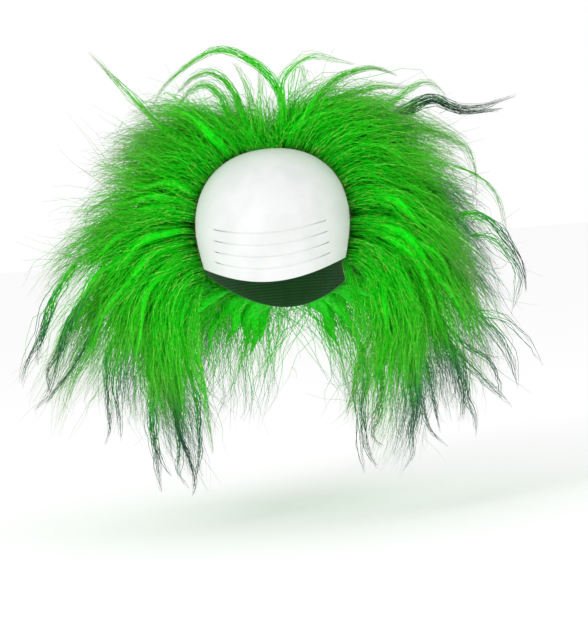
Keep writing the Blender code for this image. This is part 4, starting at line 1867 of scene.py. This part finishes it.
@dataclass(frozen=True)
class Studio:
    """The camera at the photograph's angle, soft lights and a pale floor."""

    view: View
    floor: float = -0.345
    floor_radius: float = 12.0
    floor_glow: float = 0.29
    ambient: float = 0.74
    sensor: float = 24.0
    white: Colour = (1.0, 1.0, 1.0, 1.0)
    pale: Colour = (0.90, 0.90, 0.90, 1.0)

    def camera(self) -> None:
        """Sets the camera."""
        data = bpy.data.cameras.new("studio_camera")
        data.sensor_fit = "VERTICAL"
        data.sensor_height = self.sensor
        data.lens = self.sensor * self.view.distance / self.view.frame_height
        data.clip_start = 0.05
        data.clip_end = 60.0
        camera = bpy.data.objects.new("studio_camera", data)
        bpy.context.scene.collection.objects.link(camera)
        camera.matrix_world = self.view.matrix
        bpy.context.scene.camera = camera

    def light(self, name: str, place: tuple[float, float, float], size: float, power: float) -> None:
        """Adds a soft square light aimed at the wig.

        Args:
            name: The light's name.
            place: Where it stands.
            size: Its side in metres.
            power: Its power in watts.
        """
        data = bpy.data.lights.new(name, "AREA")
        data.shape = "SQUARE"
        data.size = size
        data.energy = power
        lamp = bpy.data.objects.new(name, data)
        bpy.context.scene.collection.objects.link(lamp)
        aim = Vector(place) - Vector(self.view.target)
        lamp.matrix_world = Matrix.Translation(place) @ aim.to_track_quat("Z", "Y").to_matrix().to_4x4()

    def floor_sheet(self) -> None:
        """Lays the pale floor under the wig."""
        sheet = bmesh.new()
        bmesh.ops.create_circle(sheet, cap_ends=True, segments=96, radius=self.floor_radius)
        bmesh.ops.translate(sheet, verts=sheet.verts, vec=(0, 0, self.floor))
        floor = bpy.data.objects.new("studio_floor", new_mesh("studio_floor", sheet))
        bpy.context.scene.collection.objects.link(floor)
        material, shader, body = new_material("pale_floor")
        values = {
            "Base Color": self.pale,
            "Roughness": 0.9,
            "Specular IOR Level": 0.1,
            "Emission Color": self.white,
            "Emission Strength": self.floor_glow,
        }
        shader.fill(body, values)
        floor.data.materials.append(material)

    def surroundings(self) -> None:
        """Lights the wig from all round, and shows white behind it."""
        world = bpy.data.worlds.new("studio_world")
        world.use_nodes = True
        shader = Shader(world.node_tree)
        seen = shader.add("ShaderNodeLightPath").outputs["Is Camera Ray"]
        strength = shader.between(seen, 0.0, 1.0, (self.ambient, 1.0))
        shader.fill(world.node_tree.nodes["Background"], {"Color": self.white, "Strength": strength})
        bpy.context.scene.world = world

    def build(self) -> None:
        """Sets the camera, the lights, the floor and the surrounding light."""
        self.camera()
        self.light("key_light", (-1.2, -1.9, 1.3), size=1.0, power=16.0)
        self.light("fill_light", (1.5, -1.9, 0.3), size=1.2, power=4.0)
        self.floor_sheet()
        self.surroundings()
        bpy.context.scene.view_settings.view_transform = "Standard"


def main() -> None:
    """Builds every piece of the wig and the stage in order."""
    logging.basicConfig(level=logging.INFO)
    form = HeadForm()
    view = View()
    rng = np.random.default_rng(SEED)
    mottle = mottle_group()
    latex = LatexFront(form, "latex_skin", offset=0.0021, wall=0.0012, columns=132, side=Side.FRONT)
    skin = new_piece("latex_skin", latex.build(), LatexFinish().make(mottle))
    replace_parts(skin, "latex_front")
    cap = HeadSheet(form, "knit_cap", offset=0.0, wall=0.0013, columns=96, side=Side.BACK, lap=-0.012)
    knit = new_piece("knit_cap", cap.build(), KnitFinish().make(mottle))
    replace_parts(knit, "wig_cap")
    new_piece("edge_stitches", EdgeStitches(form).build(), ThreadFinish().make())
    HairWork(form, view, Grower(form, rng), rng).build(HairFinish().make())
    Studio(view).build()


if __name__ == "__main__":
    main()
